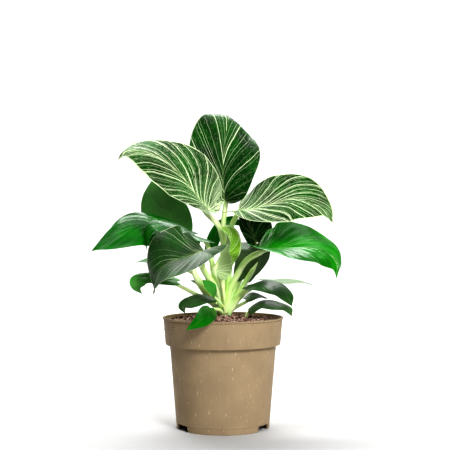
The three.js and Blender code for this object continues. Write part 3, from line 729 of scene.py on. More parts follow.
def soil_height(x, y):
    """The top of the loose soil: crossing waves of unlike length on a low mound."""
    radius = np.hypot(x, y)
    share = np.clip(radius / SOIL_EDGE_RADIUS, 0, 1)
    calm = np.clip((SOIL_EDGE_RADIUS - radius) / SOIL_CALM_EDGE, 0, 1)
    waves = np.sin(x * 0.61 + 1.3) * np.sin(y * 0.57 + 0.4) + 0.6 * np.sin(x * 0.23 - y * 0.31)
    return SOIL_EDGE + (SOIL_CROWN - SOIL_EDGE) * (1 - share**2) + SOIL_LUMP * calm * waves


def soil_bed(segments=96, rings=32):
    """The filled inside of the pot under the crumbs, with its finely sampled top."""
    top = [(SOIL_EDGE_RADIUS * (1 - ring / rings), SOIL_EDGE) for ring in range(1, rings + 1)]
    bed = turned("soil_bed", [*SOIL_SIDE, *top], segments)
    for vertex in bed.data.vertices:
        if vertex.co.z > (SOIL_EDGE - 0.01) * MM:
            x, y = vertex.co.x / MM - AXIS[0], vertex.co.y / MM - AXIS[1]
            vertex.co.z = (float(soil_height(x, y)) - CRUMB_DEPTH) * MM
    return bed


def crumb_tree(material):
    """Scatter crumbs and slim fibres of potting mix over the upward faces of a bed."""
    work = Growth("scattered_crumbs", {
        "Crumbs": "Float", "Crumb Size": "Float", "Fibres": "Float", "Fibre Length": "Float",
    })
    bed = work.given["Geometry"]
    normal = work.node("GeometryNodeInputNormal")
    up = work.parts("ShaderNodeSeparateXYZ", sockets={0: normal})[2]
    top = work.node("FunctionNodeCompare", {"operation": "GREATER_THAN"}, {0: up, 1: UPWARD})

    def strewn(body, density, size, seed, tilt, least, most):
        """Copies of a body all over the bed, each with its own turn, stretch and tone."""
        points = work.node("GeometryNodeDistributePointsOnFaces", sockets={
            "Mesh": bed, "Selection": top, "Density": work.given[density], "Seed": seed,
        })
        low, high = (-tilt / 2, -tilt / 2, 0), (tilt / 2, tilt / 2, FULL_TURN)
        stretch = work.random(least, most, seed + 2)
        copies = work.node("GeometryNodeInstanceOnPoints", sockets={
            "Points": points, "Instance": body, "Rotation": work.random(low, high, seed + 1),
            "Scale": work.vectors("SCALE", {0: stretch, "Scale": work.given[size]}),
        })
        tone = work.random(0.0, 1.0, seed + 3, "FLOAT", output=1)
        copies = work.store(copies, "tone", tone, "INSTANCE")
        return work.node("GeometryNodeRealizeInstances", sockets={0: copies})

    grain = work.node("GeometryNodeMeshIcoSphere", sockets={"Radius": 0.5, "Subdivisions": 1})
    crumbs = strewn(
        grain, "Crumbs", "Crumb Size", CRUMB_SEED, FULL_TURN, (0.45, 0.45, 0.3), (1.5, 1.3, 0.9)
    )
    dents = work.node("ShaderNodeTexNoise", sockets={"Scale": DENTS, "Detail": 2.0}, output=1)
    shift = work.vectors("SUBTRACT", {0: dents, 1: (0.5, 0.5, 0.5)})
    shift = work.vectors("SCALE", {0: shift, "Scale": DENT_DEPTH})
    crumbs = work.node("GeometryNodeSetPosition", sockets={0: crumbs, "Offset": shift})
    crumbs = work.node("GeometryNodeSetShadeSmooth", sockets={0: crumbs, "Shade Smooth": False})
    fibre = work.node("GeometryNodeMeshCone", sockets={
        "Vertices": 5, "Radius Top": 0.02, "Radius Bottom": 0.055, "Depth": 1.0,
    })
    fibre = work.node("GeometryNodeTransform", sockets={
        "Geometry": fibre, "Rotation": (0, math.pi / 2, 0), "Translation": (-0.5, 0, 0.02),
    })
    fibres = strewn(
        fibre, "Fibres", "Fibre Length", FIBRE_SEED, FIBRE_TILT, (0.35, 0.7, 0.7), (1.3, 1.3, 1.0)
    )
    work.end(work.node("GeometryNodeJoinGeometry", sockets={0: [fibres, crumbs, bed]}), material)
    return work


def potting_mix(settings):
    """Dark peat with paler bark crumbs and fibres, all matt and rough."""
    finish = Finish("potting_mix", Specular_IOR_Level=0.25)
    where = finish.place()
    tone = finish.stored("tone")
    grain = finish.noise(where, 1.3, 4.0, 0.65)
    patch = finish.noise(where, 0.09, 2.0).between(0.35, 0.7)
    colour = finish.blend(tone.between(0.25, 0.7), settings.peat, settings.bark)
    colour = finish.blend(tone.between(0.8, 1.0) * 0.8, colour, settings.pale_bark)
    colour = finish.blend(patch * 0.2, colour, settings.bark)
    colour = finish.blend(grain.between(0.35, 0.6) * 0.35, colour, settings.peat)
    return finish.dress(colour, 0.82 + 0.15 * grain, grain, 0.25, 0.6)


# Stalks

STEM_CENTRE = (2.0, 0.0)
STEM_RADIUS = 5.4
STEM_TAPER = 0.2
STEM_FOOT = 88.0
STEM_TOP = 116.0
STALK_SWELL = 1.45
STALK_TAPER = 0.6
SHEATH_RADII = (3.1, 1.2)
TINTS = dict(stem=0.35, stalk=0.0, shoot=0.1, sheath=1.0)  # how much of the sheath's pink

# Where a stalk meets its rib: how far past the rib's foot and how far below it. It then runs out
# under the rib, over so much of the rib but no more than so many millimetres, and loses so much
# of its girth.
MEET_AHEAD = 0.8
MEET_BELOW = 0.35
RUN_OUT_SHARE = 0.3
RUN_OUT = 14.0
RUN_OUT_LOSS = 0.78
RUN_OUT_PLACES = np.array((0.35, 1.0))
RUN_OUT_DEPTHS = np.array((0.62, 0.3))


def stalk_line(leaf, foot_radius, points, steps=36, last_steps=8):
    """A stalk's centre line and radii, from the stem until it runs out along the rib's keel."""
    rib, tip = Rib(leaf), leaf["stalk_radius"]
    foot = np.zeros(1)
    base, _, face = rib.frames(foot)
    meet = base + MEET_AHEAD * rib.path.tangent(foot) - face * (tip + MEET_BELOW)
    line = [*points, meet[0]]
    reach = min(RUN_OUT_SHARE * rib.path.length, RUN_OUT) / rib.path.length
    under, _, face = rib.frames(RUN_OUT_PLACES * reach)
    whole = Path([*line, *(under - face * tip * RUN_OUT_DEPTHS[:, None])])
    ends = Path(line).length / whole.length
    last_places = np.linspace(ends, 1, last_steps + 1)[1:]
    places = np.concatenate((np.linspace(0, ends, steps), last_places))
    radii = foot_radius + (tip - foot_radius) * np.clip(places / ends, 0, 1) ** STALK_TAPER
    run_out = np.clip((places - ends) / (1 - ends), 0, 1)
    return whole.at(places), radii * (1 - RUN_OUT_LOSS * run_out)


def line_object(name, lines):
    """Centre lines as loose edges, with the radius, upper side and tint of each point."""
    points, edges, girths, uppers, tints = [], [], [], [], []
    for line, radii, toward, tint in lines:
        edges += [(len(points) + step, len(points) + step + 1) for step in range(len(line) - 1)]
        points += list(line)
        girths += list(radii * MM)
        uppers += list(unit(square_to(unit(np.gradient(line, axis=0)), np.array(toward, float))))
        tints += [tint] * len(line)
    made = mesh_object(name, points, edges=edges)
    paint(made.data, "girth", girths)
    paint(made.data, "upper", uppers, kind="FLOAT_VECTOR")
    paint(made.data, "tint", tints)
    return made


def stalk_tree(material):
    """Sweep a round section, grooved along its upper side, along every centre line."""
    work = Growth("grooved_stalks", {"Sides": "Int", "Groove": "Float", "Flatness": "Float"})
    place = work.node("GeometryNodeSplineParameter")
    curves = work.node("GeometryNodeMeshToCurve", sockets={"Mesh": work.given["Geometry"]})
    curves = work.node("GeometryNodeSetCurveNormal", {"mode": "FREE"}, {
        "Curve": curves, "Normal": work.named("upper", "FLOAT_VECTOR"),
    })
    curves = work.store(curves, "along", place)
    ring = work.node("GeometryNodeCurvePrimitiveCircle", {"mode": "RADIUS"}, {
        "Resolution": work.given["Sides"], "Radius": 1.0,
    })
    ring = work.store(ring, "around", place)
    where = work.node("GeometryNodeInputPosition")
    x, y, _ = work.parts("ShaderNodeSeparateXYZ", sockets={0: where})
    lowered = (y - y.between(0.5, 1.0) * work.given["Groove"]) * work.given["Flatness"]
    ring = work.node("GeometryNodeSetPosition", sockets={
        "Geometry": ring, "Position": work.joined(x, lowered),
    })
    swept = work.node("GeometryNodeCurveToMesh", sockets={
        "Curve": curves, "Profile Curve": ring, "Scale": work.named("girth"), "Fill Caps": True,
    })
    work.end(work.node("GeometryNodeSetShadeSmooth", sockets={"Geometry": swept}), material)
    return work


def crown_lines(stem_steps=14, sheath_steps=24):
    """The stem, every leaf stalk that grows from it, and the sheath of the newest leaf."""
    height = np.linspace(STEM_FOOT, STEM_TOP + 1, stem_steps)
    stem = np.array([(*STEM_CENTRE, place) for place in height])
    share = (height - STEM_FOOT) / (STEM_TOP - STEM_FOOT)
    lines = [(stem, STEM_RADIUS * (1 - STEM_TAPER * share), (0, -1, 0), TINTS["stem"])]
    for leaf in LEAVES:
        if leaf["stalk"]:
            line, radii = stalk_line(leaf, leaf["stalk_radius"] * STALK_SWELL, leaf["stalk"])
            toward = np.mean(leaf["face"], axis=0) * (-1, -1, 1)
            lines.append((line, radii, toward, TINTS["stalk"]))
    places = np.linspace(0, 1, sheath_steps)
    wide, slim = SHEATH_RADII
    radii = wide + (slim - wide) * places**STALK_TAPER
    return [*lines, (Path(SHEATH).at(places), radii, (0, 1, 0.3), TINTS["sheath"])]


def stalk_skin(settings):
    """Juicy pale green stalks with lengthwise streaks, a deeper green at their feet with painted
    shade where they crowd round the stem.
    """
    finish = Finish(
        "stalk_skin", Specular_IOR_Level=0.5, Subsurface_Weight=0.12, Subsurface_Scale=0.003
    )
    along, tint = finish.stored("along"), finish.stored("tint")
    turn = finish.stored("around") * FULL_TURN
    ring = finish.joined(turn.cosine(), turn.sine(), along * 1.2 + tint * 7.0)
    streak = finish.noise(ring, 5.0, 3.0, 0.6)
    cloud = finish.noise(finish.place(), 0.05, 2.0)
    colour = finish.blend(cloud.between(0.35, 0.65), settings.stalk, settings.stalk_light)
    colour = finish.blend(streak.between(0.5, 0.72) * 0.55, colour, settings.stalk_streak)
    # Partly a deeper green, partly painted shade: darker towards the feet, where the stalks crowd
    # round the stem
    colour = finish.blend((1 - along.between(0.0, 0.16)) * 0.8, colour, settings.shaded_stalk_foot)
    blush = tint.between(0.4, 1.0) * streak.between(0.4, 0.75)
    colour = finish.blend(blush * 0.85, colour, settings.sheath)
    return finish.dress(colour, 0.34 + 0.18 * streak, streak, 0.12, 0.35)


# Leaf blades

BLADE_THICKNESS = 0.8
KEEL = 0.9
KEEL_WIDTH = 1.5
KEEL_START = 0.08
GROOVE = 0.22
GROOVE_WIDTH = 0.9
VEIN_SWEEP = 0.45
SINUS_REACH = 0.02
LEAST_CURL = 1.0
NEAR_SINUS = slice(1, 8)  # the first rows beside the sinus
USUAL_HALF = 35.0  # the half width at which ripples and swellings have their full size
WIDE_LANES = 60.0
QUILT_LEVEL = 0.6
RIPPLES = (2.3, 5.1)  # waves from the sinus to the tip
FIRST_LUCK = 100
VARIETY = 1.37
COLUMNS = np.array((
    0, 0.016, 0.04, 0.08, 0.14, 0.22, 0.32, 0.43, 0.55, 0.67, 0.78, 0.87, 0.94, 0.98, 1
))


class Rib:
    """A blade's midrib, with the side and the upper face at any place along it."""

    def __init__(self, leaf):
        self.path = Path(leaf["rib"])
        self.looks = unit(np.array(leaf["face"], float))

    def frames(self, along):
        inside = np.clip(along, 0, 1)
        forward = self.path.tangent(inside)
        behind = np.minimum(along, 0)[..., None] * self.path.length
        place = inside * (len(self.looks) - 1)
        near = np.minimum(place.astype(int), max(len(self.looks) - 2, 0))
        far = np.minimum(near + 1, len(self.looks) - 1)
        share = (place - near)[..., None]
        face = self.looks[near] * (1 - share) + self.looks[far] * share
        face = unit(square_to(forward, face))
        return self.path.at(inside) + behind * forward, np.cross(forward, face), face


def blade_half(leaf, rib, half, margin, start):
    """A grid of points of one half: rows follow the veins from the rib to the margin."""
    reach = margin[:, :1] * np.where(margin[:, :1] < 0, leaf["lobe"][half], 1)
    along = start + (reach - start) * COLUMNS
    swept = (1 - VEIN_SWEEP) * COLUMNS + VEIN_SWEEP * (1 - np.cos(math.pi * COLUMNS)) / 2
    first, last = leaf["fold"][half], leaf["tip_fold"][half]
    fold = np.radians(first + (last - first) * np.clip(along, 0, 1))
    curl = math.radians(max(leaf["curl"][half], LEAST_CURL))
    bend = leaf["half"][half] / curl
    angle = fold - curl * margin[:, 1:2] * swept
    point, side, face = rib.frames(along)
    point = point + side * (HANDS[half] * bend * (np.sin(fold) - np.sin(angle)))[..., None]
    return point + face * (bend * (np.cos(angle) - np.cos(fold)))[..., None]


def blade_sheets(leaf, margin, start):
    """For each half its points, their normals, their distances from the rib, and how many
    millimetres all its lanes would take up side by side if they were as wide as there."""
    rib = Rib(leaf)
    grids = [blade_half(leaf, rib, half, margin, start) for half in (0, 1)]
    normals = []
    for grid, hand in zip(grids, HANDS):
        normal = np.cross(np.gradient(grid, axis=1), np.gradient(grid, axis=0)) * hand
        normal[np.linalg.norm(normal, axis=-1) < FLAT] = 0
        normals.append(normal)
    middle = normals[0][:, 0] + normals[1][:, 0]
    base = sum(normal[NEAR_SINUS, 1].sum(axis=0) for normal in normals)
    middle[np.linalg.norm(middle, axis=-1) < FLAT] = base
    middle[0] = base
    sheets = []
    for grid, normal in zip(grids, normals):
        normal[:, 0] = middle
        normal[0] = base
        normal[-1] = middle[-2]
        across = unit(np.gradient(grid, axis=1))
        ahead = square_to(across, np.gradient(grid, axis=0) * (len(grid) - 1))
        gap = np.linalg.norm(grid - grid[:, :1], axis=-1)
        sheets.append((grid, unit(normal), gap, np.linalg.norm(ahead, axis=-1)))
    return sheets


def blade_faces(leaf, sheet, lanes, start, luck, settings):
    """The upper and the lower face of a half, rippled, swollen between veins and ribbed."""
    grid, normal, gap, span = sheet
    size = min(leaf["half"]) / USUAL_HALF
    phase = luck.uniform(0, 1, 3)
    first, second = (
        np.sin(FULL_TURN * (waves * lanes + shift)) for waves, shift in zip(RIPPLES, phase)
    )
    ease = np.sin(math.pi * lanes) ** 0.6
    ripple = settings.ripple * size * (first + 0.5 * second) * ease * COLUMNS**2.4
    beat = np.abs(np.sin(math.pi * (settings.veins * lanes + phase[2]))) - QUILT_LEVEL
    room = np.clip(span / WIDE_LANES, 0, 1) * np.sin(math.pi * COLUMNS) ** 0.7
    lift = ripple + settings.relief * size * beat * room
    body = BLADE_THICKNESS / 2 * (1 - COLUMNS**3)
    ribbed = np.clip(start / KEEL_START, 0, 1)
    groove = GROOVE * np.exp(-((gap / GROOVE_WIDTH) ** 2)) * ribbed
    keel = KEEL * (1 - start) * np.exp(-((gap / KEEL_WIDTH) ** 2)) * ribbed
    return (
        grid + normal * (lift + body - groove)[..., None],
        grid + normal * (lift - body - keel)[..., None],
    )


def number_points(grids, surfaces, start):
    """The blade's points, and the number of each place: half, side, row, column. The halves share
    the rib, the sides share the margin, and all share the sinus and the tip."""
    points, numbers, index = [], {}, {}
    for half, grid in enumerate(grids):
        last_row, last_column = grid.shape[0] - 1, grid.shape[1] - 1
        for row, column in np.ndindex(grid.shape[:2]):
            spot, sides = (half, row, column), [side[row, column] for side in surfaces[half]]
            if row == 0 or (column == 0 and start[row, 0] == 0):
                spot, sides = "sinus", [grid[0, 0]]
            elif row == last_row:
                spot, sides = "tip", [grid[-1, 0]]
            elif column == last_column:
                sides = [sum(sides) / 2]
            elif column == 0:
                spot = row
            for side in (0, 1):
                key = spot, side % len(sides)
                if key not in numbers:
                    numbers[key] = len(points)
                    points.append(sides[key[1]])
                index[half, side, row, column] = numbers[key]
    return points, index


def make_blade(leaf, order, settings):
    """One closed blade: crowned between its veins, ribbed below and thin at its margin."""
    lanes = np.linspace(0, 1, settings.stations + 1)
    margin = through(MARGIN, lanes)
    start = np.where(margin[:, 2:] < SINUS_REACH, 0, margin[:, 2:])
    sheets = blade_sheets(leaf, margin, start)
    luck = np.random.default_rng(FIRST_LUCK + order)
    surfaces = [
        blade_faces(leaf, sheet, lanes[:, None], start, luck, settings) for sheet in sheets
    ]
    points, index = number_points([sheet[0] for sheet in sheets], surfaces, start)
    faces, lane_at, span_at, gap_at, under = [], [], [], [], []
    for half, side in np.ndindex(2, 2):
        _, _, gap, span = sheets[half]
        for row, column in np.ndindex(settings.stations, len(COLUMNS) - 1):
            corners = [(row, column), (row, column + 1), (row + 1, column + 1), (row + 1, column)]
            if half == side:
                corners.reverse()
            kept = {}
            for corner in corners:
                kept.setdefault(index[(half, side, *corner)], corner)
            if len(kept) < 3:
                continue
            faces.append(list(kept))
            under.append(side)
            for corner in kept.values():
                lane_at.append((lanes[corner[0]] + 2 * half, COLUMNS[corner[1]]))
                span_at.append(span[corner])
                gap_at.append(gap[corner])
    made = mesh_object(leaf["node"] + "_blade", np.clip(points, *CAD_CORNERS), faces)
    mesh = made.data
    mesh.uv_layers.new(name="veins").data.foreach_set("uv", np.array(lane_at).ravel())
    paint(mesh, "span", span_at, "CORNER")
    paint(mesh, "from_rib", gap_at, "CORNER")
    paint(mesh, "under", under, "FACE")
    paint(mesh, "variety", order * VARIETY)
    paint(mesh, "cream", leaf["cream"])
    # How strongly painted sheen and painted light pale this blade
    paint(mesh, "pale", leaf["pale"])
    return made


# How each kind of leaf looks. stripes: for each set, how many to a half, how many millimetres
# wide, how many of them are kept and how strong they are. fade, fading: where along a vein they
# fade, and how far. dashes, dash_level: the strength of short dashes, and how rare they are.
# patch: a cream patch near the stalk. margin, margin_strength: the pale margin's width and
# strength, on a blade whose half is so wide. green: its two greens in the settings. rib, rib_glow:
# how pale the rib and the green beside it are. below, pale_below, lines_below: the lower face's
# colours, how far they cover, and how far its lines show.
DARK = dict(
    stripes=((8, 0.8, 0.9, 0.95), (21, 0.42, 0.5, 0.55), (61, 0.25, 0.4, 0.3)), fade=0.6,
    fading=0.4, dashes=0.38, dash_level=0.57, patch=0.0, margin=0.5, margin_strength=0.5, half=34,
    green="dark", rib=0.75, rib_glow=0.2, below=("underside", "underside_vein"), pale_below=0.85,
    lines_below=0.35, roughness=0.24, shine=0.035, bump=0.5,
)
GREEN = dict(
    DARK, stripes=((17, 0.45, 0.5, 0.5), (43, 0.3, 0.4, 0.25)), fade=0.5, fading=0.7, dashes=0.08,
    dash_level=0.62, margin=0.4, margin_strength=0.4, half=32, green="green", rib=0.45,
    rib_glow=0.12, lines_below=0.3, roughness=0.2, shine=0.07, bump=0.4,
)
LEAF_LOOKS = dict(
    dark=DARK,
    striped=dict(
        DARK, stripes=((13, 0.9, 0.9, 1.0), (29, 0.55, 0.6, 0.8), (67, 0.33, 0.5, 0.5)), fade=0.8,
        fading=0.2, dashes=0.42, dash_level=0.56, patch=0.85, margin=1.3, margin_strength=0.95,
        half=36, green="striped", rib=0.6, rib_glow=0.35, pale_below=0.8, roughness=0.28,
        shine=0.03, bump=0.6,
    ),
    green=GREEN,
    young=dict(
        DARK, stripes=((17, 0.9, 0.7, 0.8), (37, 0.5, 0.5, 0.5)), fade=0.7, fading=0.3, dashes=0.4,
        dash_level=0.56, margin=0.7, margin_strength=0.7, half=12, green="young", rib=0.6,
        rib_glow=0.3, below=("young_under", "cream"), pale_below=0.9, lines_below=1.0,
        roughness=0.26, shine=0.1,
    ),
    satin=dict(
        DARK, stripes=((15, 0.55, 0.8, 0.8), (37, 0.3, 0.5, 0.5)), dashes=0.2, margin=0.8,
        margin_strength=0.8, roughness=0.33, shine=0.2,
    ),
    # A brighter copy of the plain green: painted light on the leaves that wear it
    fresh=dict(
        GREEN, stripes=((13, 0.5, 0.6, 0.8), (37, 0.3, 0.4, 0.3)), fading=0.4, green="fresh",
    ),
)
STRIPE_WANDER = 0.35


def stripes(finish, lane, span, variety, count, width, keep):
    """Lines that follow the veins, so many to a half and so many millimetres wide."""
    place = lane * count
    cell = place.floor()
    where, girth, luck = finish.chance(finish.joined(cell, variety, count * 0.01))
    middle = 0.5 + (where - 0.5) * STRIPE_WANDER
    gap = (place - cell - middle).size() * span * (1 / count)
    reach = (0.35 + 0.65 * girth) * width * 0.5
    line = 1 - gap.between(reach * 0.55, reach * 1.2)
    return line * luck.between(1 - keep - 0.12, 1 - keep + 0.12)


def leaf_skin(name, look, settings):
    """A waxy leaf: green that varies over the blade, cream lines along its veins, paler below."""
    finish = Finish(f"{name}_leaf_skin", IOR=1.45, Specular_IOR_Level=look["shine"])
    veins = finish.node("ShaderNodeUVMap", {"uv_map": "veins"})
    lane, column, _ = finish.parts("ShaderNodeSeparateXYZ", sockets={0: veins})
    span, gap, under, variety, creamy, pale = (
        finish.stored(label) for label in ("span", "from_rib", "under", "variety", "cream", "pale")
    )

    def drawn_out(across, along, offset=0.0, detail=2.0, roughness=0.5):
        """Noise that runs along the veins, unlike from blade to blade."""
        where = finish.joined(lane * across, column * along, variety + offset)
        return finish.noise(where, 1.0, detail, roughness)

    bent = lane + (drawn_out(9.0, 2.5) - 0.5) * 0.035
    faded = 1 - column.between(look["fade"], look["fade"] + 0.5) * look["fading"]
    cream = 0.0
    for count, width, keep, strength in look["stripes"]:
        line = stripes(finish, bent, span, variety, count, width, keep)
        broken = drawn_out(count * 0.9, 7.0, 3.0).between(0.22, 0.38)
        cream = (line * faded * broken * strength).most(cream)
    dashes = drawn_out(150.0, 16.0, 9.0, 3.0, 0.7)
    dashes = dashes.between(look["dash_level"], look["dash_level"] + 0.14) * look["dashes"]
    cream = dashes.most(cream)
    if look["patch"]:
        near_base = 1 - lane.remainder(2.0).between(0.15, 0.5)
        streaky = drawn_out(34.0, 4.0, 5.0).between(0.34, 0.5)
        patch = near_base * column.between(0.15, 0.6) * streaky
        cream = (patch * look["patch"]).most(cream)
    from_margin = (1 - column) * look["half"] + (dashes - 0.3) * 0.5
    margin = 1 - from_margin.between(look["margin"] * 0.5, look["margin"] * 1.3)
    margin = margin * look["margin_strength"] * (0.4 + 0.6 * creamy)
    cream = margin.most(cream * creamy)
    rib = (1 - gap.between(0.35, 1.15)) * (0.25 + 0.75 * creamy)
    cloud = finish.noise(finish.place(), 0.045, 3.0).between(0.3, 0.7)
    fine = drawn_out(60.0, 5.0, detail=3.0)
    deep, bright = (getattr(settings, f"{look['green']}_{tone}") for tone in ("deep", "bright"))
    colour = finish.blend(cloud * 0.75 + fine * 0.25, deep, bright)
    # Painted sheen and painted light: a pale grey-green wash, as strong as each blade's pale value
    colour = finish.blend(pale, colour, settings.painted_sheen_green)
    near_rib = (1 - gap.between(0.5, 7.0)) * creamy
    colour = finish.blend(near_rib * look["rib_glow"], colour, settings.vein_green)
    colour = finish.blend(cream, colour, settings.cream)
    colour = finish.blend(rib * look["rib"], colour, settings.vein_green)
    below, below_vein = (getattr(settings, label) for label in look["below"])
    below = finish.blend(fine * 0.3 + cream * look["lines_below"], below, below_vein)
    colour = finish.blend(under * look["pale_below"], colour, below)
    roughness = look["roughness"] + 0.1 * fine + 0.22 * under + 0.06 * cream
    ridge = cream.least(0.8) * 0.5 + fine * 0.3 - rib * 0.6
    return finish.dress(colour, roughness, ridge, 0.22, look["bump"])


# The studio

SWEEP_WIDTH = 4000.0
SWEEP_NEAR = -2600.0
SWEEP_FAR = 1500.0
SWEEP_RISE = 2200.0
SWEEP_BEND = 700.0
PAPER_TOOTH = (0.43, 0.43, 0.43)
SENSOR_WIDTH = 36.0
SIGHT = 20.0

# Each soft light: its place, what it looks at, its width and height, and its spread in degrees.
LIGHTS = dict(
    key=((0.7, -1.3, 1.1), (0, 0, 0.15), (0.7, 0.7), 60),
    top=((-0.15, -0.25, 1.5), (0, 0.05, 0.1), (0.7, 0.6), 90),
    front=((0.6, -1.7, 0.3), (0, 0, 0.2), (0.6, 0.4), 60),
    rim=((-0.1, 0.85, 1.0), (0, 0, 0.2), (1.0, 0.25), 180),
    back=((0, 0.5, 1.6), (0, 1.5, 0.6), (2.4, 0.8), 180),
)


def studio_sweep(settings):
    """A pale floor that curves up into a back wall, so that no corner shows."""
    foot = SWEEP_FAR - SWEEP_BEND
    outline = [(SWEEP_NEAR, 0.0), (foot, 0.0)]
    for angle in np.linspace(0.1, math.pi / 2, 16):
        outline.append((foot + SWEEP_BEND * math.sin(angle), SWEEP_BEND * (1 - math.cos(angle))))
    outline.append((SWEEP_FAR, SWEEP_RISE))
    points = [(side * SWEEP_WIDTH / 2, y, z) for y, z in outline for side in (-1, 1)]
    faces = [(2 * row, 2 * row + 1, 2 * row + 3, 2 * row + 2) for row in range(len(outline) - 1)]
    sweep = mesh_object("studio_floor", points, faces)
    finish = Finish("studio_paper", Specular_IOR_Level=0.1)
    tooth = finish.noise(finish.place(), 0.02, 2.0)
    paper = finish.blend(tooth * 0.06, settings.floor, PAPER_TOOTH)
    sweep.data.materials.append(finish.dress(paper, 0.8 + 0.1 * tooth))


def soft_light(name, place, target, size, spread, power):
    lamp = bpy.data.lights.new(name, "AREA")
    lamp.shape, lamp.size, lamp.size_y = "RECTANGLE", *size
    lamp.energy, lamp.spread = power, math.radians(spread)
    made = placed(name, lamp)
    made.location = place
    made.rotation_euler = (Vector(target) - Vector(place)).to_track_quat("-Z", "Y").to_euler()


def level_camera(settings):
    camera = bpy.data.cameras.new("studio_camera")
    camera.lens, camera.sensor_width, camera.clip_end = settings.lens, SENSOR_WIDTH, SIGHT
    made = placed("studio_camera", camera)
    made.location = settings.camera_place
    made.rotation_euler = (math.radians(90), 0, 0)
    bpy.context.scene.camera = made


# Sizes and colours

LENGTH = dict(subtype="DISTANCE", unit="LENGTH", precision=4)


def whole_number(name, description, default, low, high):
    return bpy.props.IntProperty(
        name=name, description=description, default=default, min=low, max=high
    )


def number(name, description, default, low=0.0, **more):
    return bpy.props.FloatProperty(
        name=name, description=description, default=default, min=low, **more
    )


def swatch(name, description, default):
    return bpy.props.FloatVectorProperty(
        name=name, description=description, default=default, subtype="COLOR", min=0, max=1
    )


class BirkinPotSettings(bpy.types.PropertyGroup):
    segments: whole_number("Segments", "Facets round the pot's wall", 160, 32, 360)
    plastic: swatch("Plastic", "Main colour of the pot", (0.375, 0.285, 0.18))
    plastic_shade: swatch("Plastic shade", "Darker clouds in the plastic", (0.30, 0.222, 0.14))
    plastic_light: swatch("Plastic light", "Paler upright streaks", (0.47, 0.36, 0.22))
    fleck: swatch("Fleck", "Short pale flecks", (0.88, 0.74, 0.42))


class BirkinSoilSettings(bpy.types.PropertyGroup):
    crumbs: number("Crumbs", "Crumbs on each square metre", 270000.0)
    crumb_size: number("Crumb size", "Usual width of a crumb", 0.0025, 0.0002, **LENGTH)
    fibres: number("Fibres", "Fibres on each square metre", 38000.0)
    fibre_length: number("Fibre length", "Length of a long fibre", 0.0062, 0.0005, **LENGTH)
    peat: swatch("Peat", "The mix's dark ground colour", (0.075, 0.04, 0.03))
    bark: swatch("Bark", "Most of its crumbs", (0.64, 0.42, 0.32))
    pale_bark: swatch("Pale bark", "Its palest crumbs", (0.95, 0.80, 0.70))


class BirkinStalkSettings(bpy.types.PropertyGroup):
    sides: whole_number("Sides", "Points round a stalk", 16, 8, 48)
    groove: number(
        "Groove", "Depth of a stalk's groove as a share of its radius", 0.3, max=0.8,
        subtype="FACTOR")
    flatness: number(
        "Flatness", "Depth of a stalk as a share of its width", 0.95, 0.5, max=1.2,
        subtype="FACTOR")
    stalk: swatch("Stalk", "Main colour of the stalks", (0.64, 0.88, 0.32))
    stalk_light: swatch("Stalk light", "Their paler stretches", (0.84, 0.97, 0.54))
    stalk_streak: swatch("Stalk streak", "Their lengthwise streaks", (0.74, 0.88, 0.52))
    # A deeper green with painted shade, for the crowded feet of the stalks
    shaded_stalk_foot: swatch("Stalk foot", "Their feet near the stem", (0.50, 0.74, 0.27))
    sheath: swatch("Sheath", "The papery sheath of the newest leaf", (0.80, 0.52, 0.32))


class BirkinLeafSettings(bpy.types.PropertyGroup):
    stations: whole_number("Stations", "Rows of faces along each half of a blade", 64, 16, 160)
    veins: number("Veins", "Swellings between the veins of a half", 13.0)
    relief: number("Relief", "How far they swell, in millimetres", 0.35)
    ripple: number("Ripple", "How far the margins wave, in millimetres", 0.9)
    dark_deep: swatch("Dark leaf", "Shaded green of the dark leaves", (0.003, 0.018, 0.003))
    dark_bright: swatch("Dark leaf, bright", "Their brighter green", (0.006, 0.092, 0.004))
    striped_deep: swatch("Striped leaf", "Green between dense stripes", (0.006, 0.032, 0.004))
    striped_bright: swatch("Striped leaf, bright", "Its brighter green", (0.011, 0.112, 0.006))
    green_deep: swatch("Green leaf", "Shaded green of the plain leaves", (0.003, 0.09, 0.004))
    green_bright: swatch("Green leaf, bright", "Their brighter green", (0.006, 0.19, 0.004))
    # Painted light: the plain leaves' greens made brighter, as if those leaves were more brightly
    # lit
    fresh_deep: swatch(
        "Fresh leaf", "Shaded green of the brighter plain leaves", (0.004, 0.12, 0.004))
    fresh_bright: swatch("Fresh leaf, bright", "Their brighter green", (0.014, 0.29, 0.006))
    young_deep: swatch("Young leaf", "Shaded green of the youngest leaf", (0.12, 0.30, 0.012))
    young_bright: swatch("Young leaf, bright", "Its brighter green", (0.27, 0.52, 0.03))
    # Painted sheen and painted light: the grey-green wash over some leaves, not a colour of their
    # own
    painted_sheen_green: swatch("Pale green", "Tint of the leaves with thin wax", (0.38, 0.58, 0.28))
    vein_green: swatch("Midrib", "Pale green of the midribs", (0.34, 0.52, 0.14))
    cream: swatch("Cream", "Stripes and margins", (0.82, 0.95, 0.61))
    underside: swatch("Underside", "The matt lower face", (0.06, 0.105, 0.05))
    underside_vein: swatch("Underside veins", "Veins of the lower face", (0.30, 0.42, 0.2))
    young_under: swatch("Young underside", "Lower face of the youngest leaf", (0.44, 0.62, 0.25))


